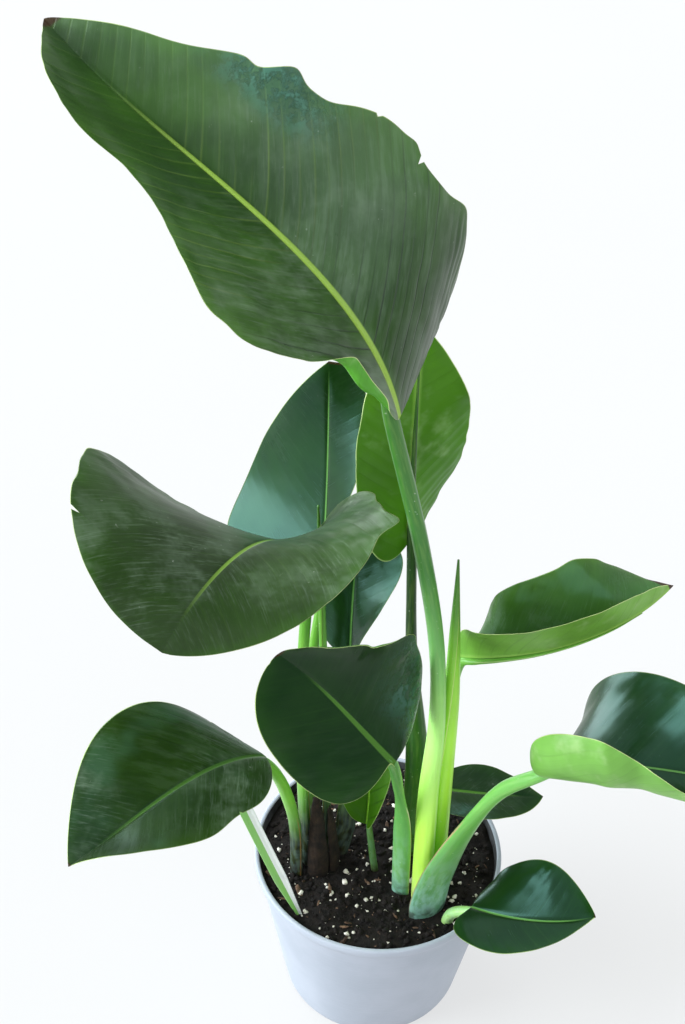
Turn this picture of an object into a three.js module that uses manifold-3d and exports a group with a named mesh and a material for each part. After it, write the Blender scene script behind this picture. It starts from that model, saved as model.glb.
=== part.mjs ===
// A young bird of paradise in a round nursery pot.
// Twelve paddle-shaped leaves, each a thin blade on a sheathing stalk, two rolled spears, dry sheaths,
// dark potting mix with perlite, and a small folded care stake. Millimetres, +Z up. The origin is the
// middle of the pot's underside, on the ground.
import * as THREE from "three";
import { mergeVertices } from "three/addons/utils/BufferGeometryUtils.js";
import Module from "manifold-3d";

const wasm = await Module();
wasm.setup();

// ---------------------------------------------------------------- driving dimensions
const POT_HEIGHT = 123;
const POT_BASE_RADIUS = 63;
const POT_RIM_RADIUS = 85;
const POT_WALL = 1.8;
const POT_LIP_HEIGHT = 7;
const POT_LIP_WIDTH = 1.2;
const POT_FLOOR = 2.5;
const POT_SIDES = 40;
const DRAIN_HOLES = 6;
const DRAIN_HOLE_RADIUS = 5;
const DRAIN_CIRCLE_RADIUS = 42;

const SOIL_LEVEL = 117;
const SOIL_RELIEF = 1.6;
const PERLITE_GRAINS = 32;
const BARK_CHIPS = 10;
const STEM_DEPTH = 20; // how far a stalk runs on below the soil level

const FIT = 0.3; // clearance between pieces that touch
const BLADE_THICKNESS = 0.9;
const KEEL_END = 0.82; // share of the blade's length that its keel runs along
const KEEL_TAPER = 0.3; // the keel's size where it ends, against its size at the collar
const KEEL_HOLLOW = 0.1;
const END_HALF_WIDTH = 1.3; // a blade is this wide, each side of its midrib, where it starts and ends

const STAKE_LENGTH = 150;
const STAKE_WIDTH = 7.5;
const STAKE_THICKNESS = 0.8;

// Colours as seen in daylight.
const FINISH = {
  pot: { color: 0xb9bfc8, roughness: 0.55 },
  soil: { color: 0x1c1512, roughness: 0.95 },
  stake: { color: 0xe8ece6, roughness: 0.45 },
  blade: { color: 0x1f4a24, roughness: 0.32 },
  paleBlade: { color: 0x4c8a22, roughness: 0.4 },
  stalk: { color: 0x6fb53a, roughness: 0.38 },
  darkStalk: { color: 0x2f7a3a, roughness: 0.36 },
  drySheath: { color: 0x4a3526, roughness: 0.85 },
};

// One leaf. Angles are in degrees, and each list of three holds the value at the blade's base, at its
// middle and at its tip. heading turns about +Z from +X, lift is the slope above the horizontal, and roll
// turns the blade about its midrib. sweep draws both margins on towards the tip. left and right are the
// halves beside the midrib: full and point shape the outline towards the base and towards the tip, lobe
// draws the base's margin back, fold tips the half up from the midrib, curl bends it on towards its margin,
// and ripple [share, waves, phase] scallops the margin.
// The stalk runs from its foot through the via points to the blade's collar. girth lists its half width
// and half depth at even steps from the foot to the collar, face is the side of the shoot that its hollow
// looks to, and clasp is how deeply the sheath is hollowed there.
const LEAVES = [
  {
    name: "crown",
    collar: [-5, -41, 505], length: 259, sweep: 0.0,
    heading: [172, 165, 148], lift: [77, 38, 37], roll: [-19, -30, -23],
    left: {
      width: 71, full: 0.79, point: 0.87, lobe: -0.16,
      fold: [20, 29, 39], curl: [-3, 5, 14], ripple: [-0.21, 2, -0.07],
    },
    right: {
      width: 87, full: 0.11, point: 0.74, lobe: -0.16,
      fold: [-9, 24, 20], curl: [0, 0, 0], ripple: [0.04, 4, 0.56],
    },
    foot: [31, -36], via: [[29, -37, 220], [28, -38, 290], [23, -38, 358], [10, -40, 427]],
    face: 10, clasp: 0.4,
    girth: [[10, 8], [10, 8], [8, 6.5], [5.6, 5.2], [5, 4.8], [4.8, 4.4], [4.6, 4]],
    grid: [22, 12], tone: "darkStalk",
  },
  {
    name: "arching",
    collar: [-54, 31, 359], length: 197, sweep: -0.07,
    heading: [252, 249, 240], lift: [45, 26, -35], roll: [16, -4, -20],
    left: {
      width: 69, full: 0.55, point: 0.63, lobe: -0.21,
      fold: [37, 8, -3], curl: [27, 24, -5], ripple: [0, 0, 0],
    },
    right: {
      width: 101, full: 0.71, point: 0.53, lobe: -0.21,
      fold: [3, 0, 10], curl: [24, 22, -1], ripple: [0, 0, 0],
    },
    foot: [-46, -11], via: [[-52, 2, 190], [-54, 24, 270], [-52, 38, 332]], face: 40, clasp: 0.6,
    girth: [[6, 4.5], [5, 4], [4, 3.6], [3.6, 3.4], [3.4, 3.2]],
    grid: [18, 10], tone: "stalk",
  },
  {
    name: "rear_right",
    collar: [8, 34, 364], length: 150, sweep: 0.22,
    heading: [-85, -90, -94], lift: [96, 92, 96], roll: [35, 17, 0],
    left: {
      width: 40, full: 0.47, point: 0.95, lobe: 0.25,
      fold: [21, 8, 1], curl: [14, 2, -6], ripple: [0, 0, 0],
    },
    right: {
      width: 35, full: 0.5, point: 0.8, lobe: 0.9,
      fold: [8, 5, 7], curl: [-13, -9, -1], ripple: [0, 0, 0],
    },
    foot: [23, 2], via: [[22, 8, 205], [14, 21, 292]], face: 90, clasp: 0.8,
    girth: [[6, 5], [8, 5], [7, 4.5], [4, 3.6], [3.2, 3.2], [3, 3]],
    grid: [14, 8], tone: "darkStalk",
  },
  {
    name: "rear_left",
    collar: [-44, 54, 320], length: 142, sweep: 0.03,
    heading: [84, 90, 96], lift: [62, 73, 87], roll: [-36, -30, -13],
    left: {
      width: 78, full: 0.15, point: 0.95, lobe: 0.08,
      fold: [15, -6, -6], curl: [5, -8, -9], ripple: [0, 0, 0],
    },
    right: {
      width: 27, full: 0.66, point: 0.29, lobe: 0.08,
      fold: [24, 19, 3], curl: [0, 0, 0], ripple: [0, 0, 0],
    },
    foot: [-39, -8], via: [[-48, 16, 185], [-49, 34, 258]], face: -90, clasp: 0.6,
    girth: [[5, 4.5], [4.4, 4], [3.6, 3.4], [3.4, 3.2], [3.2, 3]],
    grid: [14, 8], tone: "stalk",
  },
  {
    name: "front",
    collar: [3, -72, 286], length: 118, sweep: 0.34,
    heading: [184, 193, 190], lift: [54, 57, 47], roll: [-57, -77, -90],
    left: {
      width: 47, full: 0.45, point: 0.73, lobe: 0.23,
      fold: [-4, -2, 7], curl: [0, 0, 0], ripple: [0, 0, 0],
    },
    right: {
      width: 54, full: 0.35, point: 0.62, lobe: 0.23,
      fold: [-12, 10, 21], curl: [-35, -10, 6], ripple: [0, 0, 0],
    },
    foot: [16, -30], via: [[14, -31, 175], [12, -40, 212], [7, -56, 250]], face: 55, clasp: 1.2,
    girth: [[6.5, 4.5], [7, 4.5], [6, 4.2], [3.6, 3.4], [3.2, 3]],
    grid: [14, 8], tone: "stalk",
  },
  {
    name: "low_left",
    collar: [-74, -40, 254], length: 143, sweep: 0.13,
    heading: [215, 223, 221], lift: [35, -4, -6], roll: [4, -1, 13],
    left: {
      width: 44, full: 0.58, point: 0.94, lobe: -0.1,
      fold: [4, 6, 27], curl: [-15, -7, 12], ripple: [0, 0, 0],
    },
    right: {
      width: 59, full: 0.48, point: 0.88, lobe: -0.1,
      fold: [-3, 18, 15], curl: [-14, 4, 5], ripple: [0, 0, 0],
    },
    foot: [-54, -17], via: [[-55, -18, 165], [-61, -23, 200], [-67, -31, 226]], face: 20, clasp: 0.6,
    girth: [[5.4, 5.6], [5.2, 5.6], [4.6, 4.8], [4, 3.8], [3.6, 3.4]],
    grid: [14, 8], tone: "darkStalk",
  },
  {
    name: "upper_right",
    collar: [41, -13, 317], length: 145, sweep: -0.1,
    heading: [-44, 2, 47], lift: [31, 23, 14], roll: [-4, 7, -27],
    left: {
      width: 46, full: 0.62, point: 0.49, lobe: -0.17,
      fold: [25, 64, 17], curl: [0, 0, 0], ripple: [0, 0, 0],
    },
    right: {
      width: 35, full: 0.53, point: 0.85, lobe: -0.17,
      fold: [78, 68, 85], curl: [0, 0, 0], ripple: [0, 0, 0],
    },
    foot: [38, -20], via: [[37, -19, 220], [37, -17, 280]], face: -90, clasp: 0.5,
    girth: [[5, 4], [4.6, 4], [4, 3.8], [3.6, 3.6], [3.2, 3]],
    grid: [14, 8], tone: "darkStalk",
  },
  {
    name: "far_right",
    collar: [87, -62, 275], length: 150, sweep: -0.17,
    heading: [-11, -9, -19], lift: [31, 0, 14], roll: [-18, 8, 34],
    left: {
      width: 75, full: 0.12, point: 0.73, lobe: -0.11,
      fold: [-18, 15, 34], curl: [0, 0, 0], ripple: [0, 0, 0],
    },
    right: {
      width: 70, full: 0.46, point: 1.17, lobe: -0.11,
      fold: [-20, -1, 2], curl: [147, 102, 28], ripple: [0, 0, 0],
    },
    foot: [34, -44], via: [[37, -47, 145], [50, -50, 200], [68, -55, 245]], face: 115, clasp: 1.3,
    girth: [[11, 6.5], [12, 6.5], [12, 6], [9, 5.5], [6, 5], [5.2, 4.6], [4.6, 4]],
    grid: [16, 14], tone: "stalk",
  },
  {
    name: "low_right",
    collar: [60, -60, 140], length: 82, sweep: 0.2,
    heading: [-34, -14, 8], lift: [17, 12, 12], roll: [-5, 4, 0],
    left: {
      width: 39, full: 0.54, point: 0.74, lobe: 0.21,
      fold: [11, 25, 18], curl: [-15, 1, 4], ripple: [0, 0, 0],
    },
    right: {
      width: 31, full: 0.34, point: 1.11, lobe: 0.21,
      fold: [9, 9, 17], curl: [-11, -5, 6], ripple: [0, 0, 0],
    },
    foot: [45, -52], via: [[48, -54, 124]], face: 140, clasp: 0.2,
    girth: [[4.6, 4.2], [4.4, 4], [3, 2.6]],
    grid: [10, 8], tone: "stalk",
  },
  {
    name: "behind_right",
    collar: [39, 19, 163], length: 72, sweep: 0.17,
    heading: [-18, -7, 3], lift: [14, 4, -2], roll: [-11, -7, -4],
    left: {
      width: 29, full: 0.42, point: 0.95, lobe: 0.19,
      fold: [6, 2, -2], curl: [0, 0, 0], ripple: [0, 0, 0],
    },
    right: {
      width: 32, full: 0.46, point: 0.9, lobe: 0.19,
      fold: [14, 6, 2], curl: [0, 0, 0], ripple: [0, 0, 0],
    },
    foot: [38, 18], via: [[37, 19, 140]], face: 160, clasp: 0.3,
    girth: [[3, 2.8], [2.8, 2.6], [2.4, 2.2]],
    grid: [10, 6], tone: "stalk",
  },
  {
    name: "mid_rear",
    collar: [-24, 37, 266], length: 80, sweep: 0.22,
    heading: [92, 85, 77], lift: [64, 67, 76], roll: [-50, -20, 9],
    left: {
      width: 27, full: 0.44, point: 0.82, lobe: -0.05,
      fold: [9, 6, 4], curl: [0, 0, 0], ripple: [0, 0, 0],
    },
    right: {
      width: 34, full: 0.7, point: 0.27, lobe: -0.05,
      fold: [28, 21, 16], curl: [0, 0, 0], ripple: [0, 0, 0],
    },
    foot: [-28, -4], via: [[-22, 3, 160], [-22, 20, 215]], face: -90, clasp: 0.9,
    girth: [[3, 2.6], [7, 3.4], [5, 3.2], [3, 2.8], [2.6, 2.4]],
    grid: [12, 6], tone: "stalk",
  },
  {
    name: "inner",
    collar: [-9, -12, 161], length: 93, sweep: 0.21,
    heading: [79, 98, 119], lift: [74, 67, 62], roll: [-26, -13, 1],
    left: {
      width: 20, full: 0.4, point: 0.82, lobe: 0.14,
      fold: [16, 10, 8], curl: [0, 0, 0], ripple: [0, 0, 0],
    },
    right: {
      width: 21, full: 0.49, point: 0.75, lobe: 0.14,
      fold: [53, 38, 18], curl: [0, 0, 0], ripple: [0, 0, 0],
    },
    foot: [1, -16], via: [[-5, -14, 140]], face: -90, clasp: 0.3,
    girth: [[2.6, 2.4], [2.3, 2.1], [2, 1.8]],
    grid: [12, 6], tone: "darkStalk",
  },
];

// Rolled new leaves that stand in their shoots, and papery sheaths left round the left-hand shoot.
const SPEARS = [
  {
    name: "main_spear",
    path: [[40, -32], [38, -32, 220], [37, -31, 300], [35, -29, 352], [33, -28, 404]],
    girth: [6, 5.4, 4.6, 3.4, 0.8],
  },
  {
    name: "left_spear",
    path: [[-35, 0], [-37, 10, 200], [-42, 27, 300], [-44.5, 34, 350], [-46.5, 37, 389]],
    girth: [3.2, 3, 2.6, 2.2, 0.8],
  },
];
const DRY_SHEATHS = [
  {
    name: "dry_sheath_front",
    path: [[-40, -19], [-41, -18, 135], [-42, -15, 165], [-43, -13, 188]],
    girth: [[9, 5], [9, 5], [7, 4], [3, 2]],
    face: 100, clasp: 1.35,
  },
  {
    name: "dry_sheath_right",
    path: [[-30, -12], [-31, -11, 130], [-33, -9, 152], [-35, -8, 172]],
    girth: [[6, 4], [6, 4], [5, 3], [2, 1.5]],
    face: 160, clasp: 1.3,
  },
];

// ---------------------------------------------------------------- small helpers
const radians = THREE.MathUtils.degToRad;
const clamp = THREE.MathUtils.clamp;
const UP = new THREE.Vector3(0, 0, 1);

// The smooth curve through a value at the base, the middle and the tip.
function along([base, middle, tip], u) {
  return base * (1 - u) * (1 - 2 * u) + 4 * middle * u * (1 - u) + tip * u * (2 * u - 1);
}

// The value at share s of a list that is laid out evenly.
function evenly(list, s) {
  const x = clamp(s, 0, 1) * (list.length - 1);
  const i = Math.min(Math.floor(x), list.length - 2);
  const a = list[i];
  const b = list[i + 1];
  return Array.isArray(a) ? a.map((n, k) => n + (b[k] - n) * (x - i)) : a + (b - a) * (x - i);
}

function toSolid(geometry) {
  const bare = geometry.index ? geometry.toNonIndexed() : geometry.clone();
  bare.deleteAttribute("normal");
  bare.deleteAttribute("uv");
  const merged = mergeVertices(bare, 1e-4);
  const mesh = new wasm.Mesh({
    numProp: 3,
    vertProperties: merged.getAttribute("position").array,
    triVerts: new Uint32Array(merged.index.array),
  });
  return new wasm.Manifold(mesh);
}

function toGeometry(solid) {
  const mesh = solid.getMesh();
  const points = new Float32Array(mesh.numVert * 3);
  for (let i = 0; i < mesh.numVert; i++) {
    points.set(mesh.vertProperties.subarray(i * mesh.numProp, i * mesh.numProp + 3), i * 3);
  }
  const geometry = new THREE.BufferGeometry();
  geometry.setAttribute("position", new THREE.BufferAttribute(points, 3));
  geometry.setIndex(new THREE.BufferAttribute(mesh.triVerts, 1));
  geometry.computeVertexNormals();
  return geometry;
}

// The largest body of a solid, without the loose scraps that a cut can leave.
function mainBody(solid) {
  return solid.decompose().sort((a, b) => b.volume() - a.volume())[0];
}

// A closed skin over a list of rings with the same number of points. Each ring runs anticlockwise as seen
// from the end that the list runs towards.
function loft(rings) {
  const n = rings[0].length;
  const middles = [rings[0], rings.at(-1)].map((ring) => {
    return ring.reduce((sum, p) => sum.add(p), new THREE.Vector3()).divideScalar(n);
  });
  const points = [...rings.flat(), ...middles];
  const index = [];
  for (let i = 0; i + 1 < rings.length; i++) {
    for (let k = 0; k < n; k++) {
      const a = i * n + k;
      const b = i * n + ((k + 1) % n);
      index.push(a, b, b + n, a, b + n, a + n);
    }
  }
  const last = (rings.length - 1) * n;
  for (let k = 0; k < n; k++) {
    index.push(rings.length * n, (k + 1) % n, k);
    index.push(rings.length * n + 1, last + k, last + ((k + 1) % n));
  }
  const geometry = new THREE.BufferGeometry().setFromPoints(points);
  geometry.setIndex(index);
  return geometry;
}

// ---------------------------------------------------------------- leaf blades
// The midrib's point and its frame at share u of the blade's length: t runs to the tip, n out of the
// upper face, s to the leaf's left.
function midrib(leaf, steps = 120) {
  const stations = [];
  const point = new THREE.Vector3(...leaf.collar);
  for (let i = 0; i <= steps; i++) {
    const u = i / steps;
    const a = radians(along(leaf.heading, u));
    const e = radians(along(leaf.lift, u));
    const r = radians(along(leaf.roll, u));
    const t = new THREE.Vector3(Math.cos(e) * Math.cos(a), Math.cos(e) * Math.sin(a), Math.sin(e));
    const n = new THREE.Vector3(-Math.sin(e) * Math.cos(a), -Math.sin(e) * Math.sin(a), Math.cos(e));
    const s = new THREE.Vector3().crossVectors(n, t);
    if (i > 0) {
      const step = stations[i - 1].t.clone().add(t).multiplyScalar(leaf.length / steps / 2);
      point.add(step);
    }
    stations.push({
      point: point.clone(),
      t,
      n: n.clone().multiplyScalar(Math.cos(r)).addScaledVector(s, -Math.sin(r)),
      s: s.clone().multiplyScalar(Math.cos(r)).addScaledVector(n, Math.sin(r)),
    });
  }
  return (u) => {
    const x = clamp(u, 0, 1) * steps;
    const i = Math.min(Math.floor(x), steps - 1);
    const mix = (key) => stations[i][key].clone().lerp(stations[i + 1][key], x - i);
    return { point: mix("point"), t: mix("t").normalize(), n: mix("n").normalize(), s: mix("s").normalize() };
  };
}

function halfWidth(half, u) {
  const { width, full, point, ripple } = half;
  const widest = full / (full + point);
  const peak = widest ** full * (1 - widest) ** point;
  const scallop = 1 + ripple[0] * Math.sin(2 * Math.PI * (ripple[1] * u + ripple[2]));
  return Math.hypot((width * scallop * u ** full * (1 - u) ** point) / peak, END_HALF_WIDTH);
}

// A point of the blade's middle surface. v runs from -1 at the right margin to 1 at the left one.
function bladePoint(leaf, frameAt, u, v) {
  const side = v < 0 ? -1 : 1;
  const half = v < 0 ? leaf.right : leaf.left;
  const q = Math.abs(v);
  const { point, t, n, s } = frameAt(u);
  const w = halfWidth(half, u);
  const fold = radians(along(half.fold, u));
  let curl = radians(along(half.curl, u));
  if (Math.abs(curl) < 1e-3) curl = 1e-3;
  const across = ((Math.sin(fold + curl * q) - Math.sin(fold)) / curl) * w;
  const rise = ((Math.cos(fold) - Math.cos(fold + curl * q)) / curl) * w;
  const shift = (leaf.sweep * (1 - (1 - u) ** 3) - half.lobe * (1 - u) ** 3) * w * q ** 1.5;
  return point.addScaledVector(s, side * across).addScaledVector(n, rise).addScaledVector(t, shift);
}

// The blade as a thin closed solid. spare thickens it and widens its margins all round.
function blade(leaf, spare = 0) {
  const [rows, columns] = leaf.grid;
  const frameAt = midrib(leaf);
  const wide = columns + 1;
  const middle = [];
  for (let i = 0; i <= rows; i++) {
    const u = (1 - Math.cos((Math.PI * i) / rows)) / 2;
    for (let j = 0; j <= columns; j++) middle.push(bladePoint(leaf, frameAt, u, (2 * j) / columns - 1));
  }
  const index = [];
  for (let i = 0; i < rows; i++) {
    for (let j = 0; j < columns; j++) {
      const a = i * wide + j;
      index.push(a, a + wide + 1, a + 1, a, a + wide, a + wide + 1);
    }
  }
  const sheet = new THREE.BufferGeometry().setFromPoints(middle);
  sheet.setIndex(index);
  sheet.computeVertexNormals();
  const normals = sheet.getAttribute("normal");
  if (spare > 0) {
    const push = (a, b) => middle[a].addScaledVector(middle[a].clone().sub(middle[b]).normalize(), spare);
    for (let i = 0; i <= rows; i++) {
      push(i * wide, i * wide + 1);
      push(i * wide + columns, i * wide + columns - 1);
    }
    for (let j = 0; j <= columns; j++) {
      push(j, j + wide);
      push(rows * wide + j, (rows - 1) * wide + j);
    }
  }
  const half = BLADE_THICKNESS / 2 + spare;
  const offset = (p, k, distance) => {
    return p.clone().addScaledVector(new THREE.Vector3().fromBufferAttribute(normals, k), distance);
  };
  const upper = middle.map((p, k) => offset(p, k, half));
  const lower = middle.map((p, k) => offset(p, k, -half));
  const count = middle.length;
  const faces = [...index];
  for (let k = 0; k < index.length; k += 3) {
    faces.push(index[k] + count, index[k + 2] + count, index[k + 1] + count);
  }
  const rim = [];
  for (let j = 0; j < columns; j++) rim.push(j);
  for (let i = 0; i < rows; i++) rim.push(i * wide + columns);
  for (let j = columns; j > 0; j--) rim.push(rows * wide + j);
  for (let i = rows; i > 0; i--) rim.push(i * wide);
  rim.forEach((a, k) => {
    const b = rim[(k + 1) % rim.length];
    faces.push(a, b, b + count, a, b + count, a + count);
  });
  const closed = new THREE.BufferGeometry().setFromPoints([...upper, ...lower]);
  closed.setIndex(faces);
  return toSolid(closed);
}

// ---------------------------------------------------------------- stalks, spears and sheaths
// One cross-section: an ellipse whose side towards ref is flattened, or hollowed where clasp is over 1.
function section(centre, tangent, ref, halfWide, halfDeep, clasp, sides) {
  const side = new THREE.Vector3().crossVectors(ref, tangent).normalize();
  const out = new THREE.Vector3().crossVectors(tangent, side).normalize();
  const ring = [];
  for (let k = 0; k < sides; k++) {
    const angle = (2 * Math.PI * k) / sides;
    const deep = Math.sin(angle) * (Math.sin(angle) > 0 ? 1 - clasp : 1);
    const wide = halfWide * Math.cos(angle);
    ring.push(centre.clone().addScaledVector(side, wide).addScaledVector(out, halfDeep * deep));
  }
  return ring;
}

function sweep(curve, stations, sides) {
  const rings = stations.map(({ t, ref, wide, deep, clasp }) => {
    return section(curve.getPoint(t), curve.getTangent(t), ref, wide, deep, clasp, sides);
  });
  return toSolid(loft(rings));
}

// A leaf's stalk, which runs on under the blade as its keel.
function stalk(leaf, spare = 0) {
  const frameAt = midrib(leaf);
  const under = BLADE_THICKNESS / 2 + FIT;
  const [neckWide, neckDeep] = leaf.girth.at(-1);
  const keel = [0, 0.08, 0.2, 0.36, 0.52, 0.68, KEEL_END];
  const keelSize = (u) => THREE.MathUtils.lerp(1, KEEL_TAPER, u / KEEL_END);
  const points = [new THREE.Vector3(...leaf.foot, SOIL_LEVEL - STEM_DEPTH)];
  leaf.via.forEach((p) => points.push(new THREE.Vector3(...p)));
  const before = points.length;
  keel.forEach((u) => {
    const { point, n } = frameAt(u);
    points.push(point.addScaledVector(n, -(under + neckDeep * keelSize(u))));
  });
  const curve = new THREE.CatmullRomCurve3(points, false, "centripetal");
  const last = points.length - 1;
  const face = new THREE.Vector3(Math.cos(radians(leaf.face)), Math.sin(radians(leaf.face)), 0);
  const stations = [];
  const perSpan = leaf.via.length > 2 ? 3 : 4;
  for (let i = 0; i < before * perSpan; i++) {
    const s = i / (before * perSpan);
    const [wide, deep] = evenly(leaf.girth, s);
    const ref = face.clone().lerp(frameAt(0).n, s * s);
    const clasp = spare ? 0 : leaf.clasp * clamp(1.6 - 2 * s, 0, 1);
    stations.push({ t: (s * before) / last, ref, wide: wide + spare, deep: deep + spare, clasp });
  }
  keel.forEach((u, i) => {
    const size = keelSize(u);
    stations.push({
      t: (before + i) / last,
      ref: frameAt(u).n,
      wide: neckWide * size + spare,
      deep: neckDeep * size + spare,
      clasp: spare ? 0 : KEEL_HOLLOW,
    });
  });
  return sweep(curve, stations, 10);
}

function spear(shape, spare = 0) {
  const points = shape.path.map(([x, y, z = SOIL_LEVEL - STEM_DEPTH]) => new THREE.Vector3(x, y, z));
  const curve = new THREE.CatmullRomCurve3(points, false, "centripetal");
  const stations = [];
  for (let i = 0; i <= 14; i++) {
    const size = evenly(shape.girth, i / 14) + spare;
    stations.push({ t: i / 14, ref: new THREE.Vector3(1, 0, 0), wide: size, deep: size, clasp: 0 });
  }
  return sweep(curve, stations, 8);
}

function drySheath(shape, spare = 0) {
  const points = shape.path.map(([x, y, z = SOIL_LEVEL - STEM_DEPTH]) => new THREE.Vector3(x, y, z));
  const curve = new THREE.CatmullRomCurve3(points, false, "centripetal");
  const face = new THREE.Vector3(Math.cos(radians(shape.face)), Math.sin(radians(shape.face)), 0);
  const stations = [];
  for (let i = 0; i <= 8; i++) {
    const [wide, deep] = evenly(shape.girth, i / 8);
    const clasp = spare ? 0 : shape.clasp;
    stations.push({ t: i / 8, ref: face, wide: wide + spare, deep: deep + spare, clasp });
  }
  return sweep(curve, stations, 10);
}

// ---------------------------------------------------------------- pot, soil and stake
function insideRadius(z) {
  return THREE.MathUtils.lerp(POT_BASE_RADIUS, POT_RIM_RADIUS - POT_LIP_WIDTH, z / POT_HEIGHT) - POT_WALL;
}

function pot() {
  const outer = (z) => insideRadius(z) + POT_WALL;
  const lip = POT_HEIGHT - POT_LIP_HEIGHT;
  const profile = [
    [0, 0],
    [POT_BASE_RADIUS - 1.5, 0],
    [POT_BASE_RADIUS, 1.5],
    [outer(lip), lip],
    [POT_RIM_RADIUS, lip + 1.5],
    [POT_RIM_RADIUS, POT_HEIGHT - 0.8],
    [POT_RIM_RADIUS - 0.8, POT_HEIGHT],
    [insideRadius(POT_HEIGHT) + 0.6, POT_HEIGHT],
    [insideRadius(POT_HEIGHT), POT_HEIGHT - 0.6],
    [insideRadius(POT_FLOOR), POT_FLOOR],
    [0, POT_FLOOR],
  ].map(([r, z]) => new THREE.Vector2(r, z));
  let body = toSolid(new THREE.LatheGeometry(profile, POT_SIDES).rotateX(Math.PI / 2));
  for (let i = 0; i < DRAIN_HOLES; i++) {
    const angle = (2 * Math.PI * (i + 0.5)) / DRAIN_HOLES;
    const hole = new THREE.CylinderGeometry(DRAIN_HOLE_RADIUS, DRAIN_HOLE_RADIUS, POT_FLOOR * 4, 12);
    const x = DRAIN_CIRCLE_RADIUS * Math.cos(angle);
    const y = DRAIN_CIRCLE_RADIUS * Math.sin(angle);
    hole.rotateX(Math.PI / 2).translate(x, y, 0);
    body = body.subtract(toSolid(hole));
  }
  return body;
}

function soilHeight(x, y) {
  const mounds = Math.sin(x / 17 + 1) * Math.cos(y / 13);
  const clods = 0.6 * Math.sin(x / 7 - y / 9) + 0.4 * Math.cos(x / 5 + y / 6);
  return SOIL_LEVEL + (SOIL_RELIEF * (mounds + clods)) / 2;
}

// Even scatter over the soil: each next grain turns by the golden angle and lies a little further out.
function scatter(count, most, start) {
  const golden = Math.PI * (3 - Math.sqrt(5));
  return Array.from({ length: count }, (_, i) => {
    const r = most * Math.sqrt((i + 0.5) / count);
    const angle = i * golden + start;
    const x = r * Math.cos(angle);
    const y = r * Math.sin(angle);
    return new THREE.Vector3(x, y, soilHeight(x, y));
  });
}

function soil() {
  const rings = 6;
  const around = POT_SIDES;
  const edge = insideRadius(SOIL_LEVEL) - FIT;
  const points = [new THREE.Vector3(0, 0, soilHeight(0, 0))];
  for (let i = 1; i <= rings; i++) {
    for (let k = 0; k < around; k++) {
      const angle = (2 * Math.PI * k) / around;
      const r = (edge * i) / rings;
      const x = r * Math.cos(angle);
      const y = r * Math.sin(angle);
      points.push(new THREE.Vector3(x, y, i < rings ? soilHeight(x, y) : SOIL_LEVEL - 1));
    }
  }
  const low = POT_FLOOR + FIT;
  for (let k = 0; k < around; k++) {
    const angle = (2 * Math.PI * k) / around;
    const r = insideRadius(low) - FIT;
    points.push(new THREE.Vector3(r * Math.cos(angle), r * Math.sin(angle), low));
  }
  points.push(new THREE.Vector3(0, 0, low));
  const index = [];
  for (let k = 0; k < around; k++) {
    const next = (k + 1) % around;
    index.push(0, 1 + k, 1 + next);
    for (let i = 0; i < rings; i++) {
      const a = 1 + i * around;
      index.push(a + k, a + around + k, a + around + next, a + k, a + around + next, a + next);
    }
    const floor = 1 + rings * around;
    index.push(points.length - 1, floor + next, floor + k);
  }
  const ground = new THREE.BufferGeometry().setFromPoints(points);
  ground.setIndex(index);
  let body = toSolid(ground);
  scatter(PERLITE_GRAINS, edge - 4, 0.7).forEach((p, i) => {
    const grain = new THREE.OctahedronGeometry(1.9 + 1.1 * Math.abs(Math.sin(i * 12.7)), 0);
    grain.scale(1, 0.85, 0.75).rotateZ(i).translate(p.x, p.y, p.z + 0.2);
    body = body.add(toSolid(grain));
  });
  scatter(BARK_CHIPS, edge - 9, 2.1).forEach((p, i) => {
    const chip = new THREE.BoxGeometry(7 + 3 * Math.sin(i * 3.1), 2.6, 1.8);
    chip.rotateX(0.2 * Math.sin(i)).rotateZ(i * 1.9).translate(p.x, p.y, p.z + 0.4);
    body = body.add(toSolid(chip));
  });
  return body;
}

// The care stake: a strip of plastic folded along its length, pointed at the foot, that leans outwards.
function stake(spare = 0) {
  const foot = new THREE.Vector3(-50, -52, SOIL_LEVEL - 18);
  const lean = new THREE.Vector3(-0.3, 0, 0.954).normalize();
  const frontSide = new THREE.Vector3(0.9, -0.3, 0.28).normalize();
  const backSide = new THREE.Vector3(-0.45, -0.85, -0.14).normalize();
  const rings = [];
  const half = STAKE_THICKNESS / 2 + spare;
  for (let i = 0; i <= 8; i++) {
    const s = i / 8;
    const spine = foot.clone().addScaledVector(lean, STAKE_LENGTH * s + (i === 8 ? spare : 0));
    spine.y += 6 * s * s;
    const w = STAKE_WIDTH * Math.min(1, 0.08 + s * 2.4) * 0.72 + spare;
    const reach = (direction, length, off) => spine.clone().addScaledVector(direction, length).add(off);
    const frontNormal = new THREE.Vector3().crossVectors(frontSide, lean).normalize().multiplyScalar(half);
    const backNormal = new THREE.Vector3().crossVectors(lean, backSide).normalize().multiplyScalar(half);
    rings.push([
      reach(frontSide, w, frontNormal),
      reach(frontSide, w, frontNormal.clone().negate()),
      spine.clone().addScaledVector(frontNormal, -1).addScaledVector(backNormal, -1),
      reach(backSide, w, backNormal.clone().negate()),
      reach(backSide, w, backNormal),
      spine.clone().add(frontNormal).add(backNormal),
    ]);
  }
  return toSolid(loft(rings));
}

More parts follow.
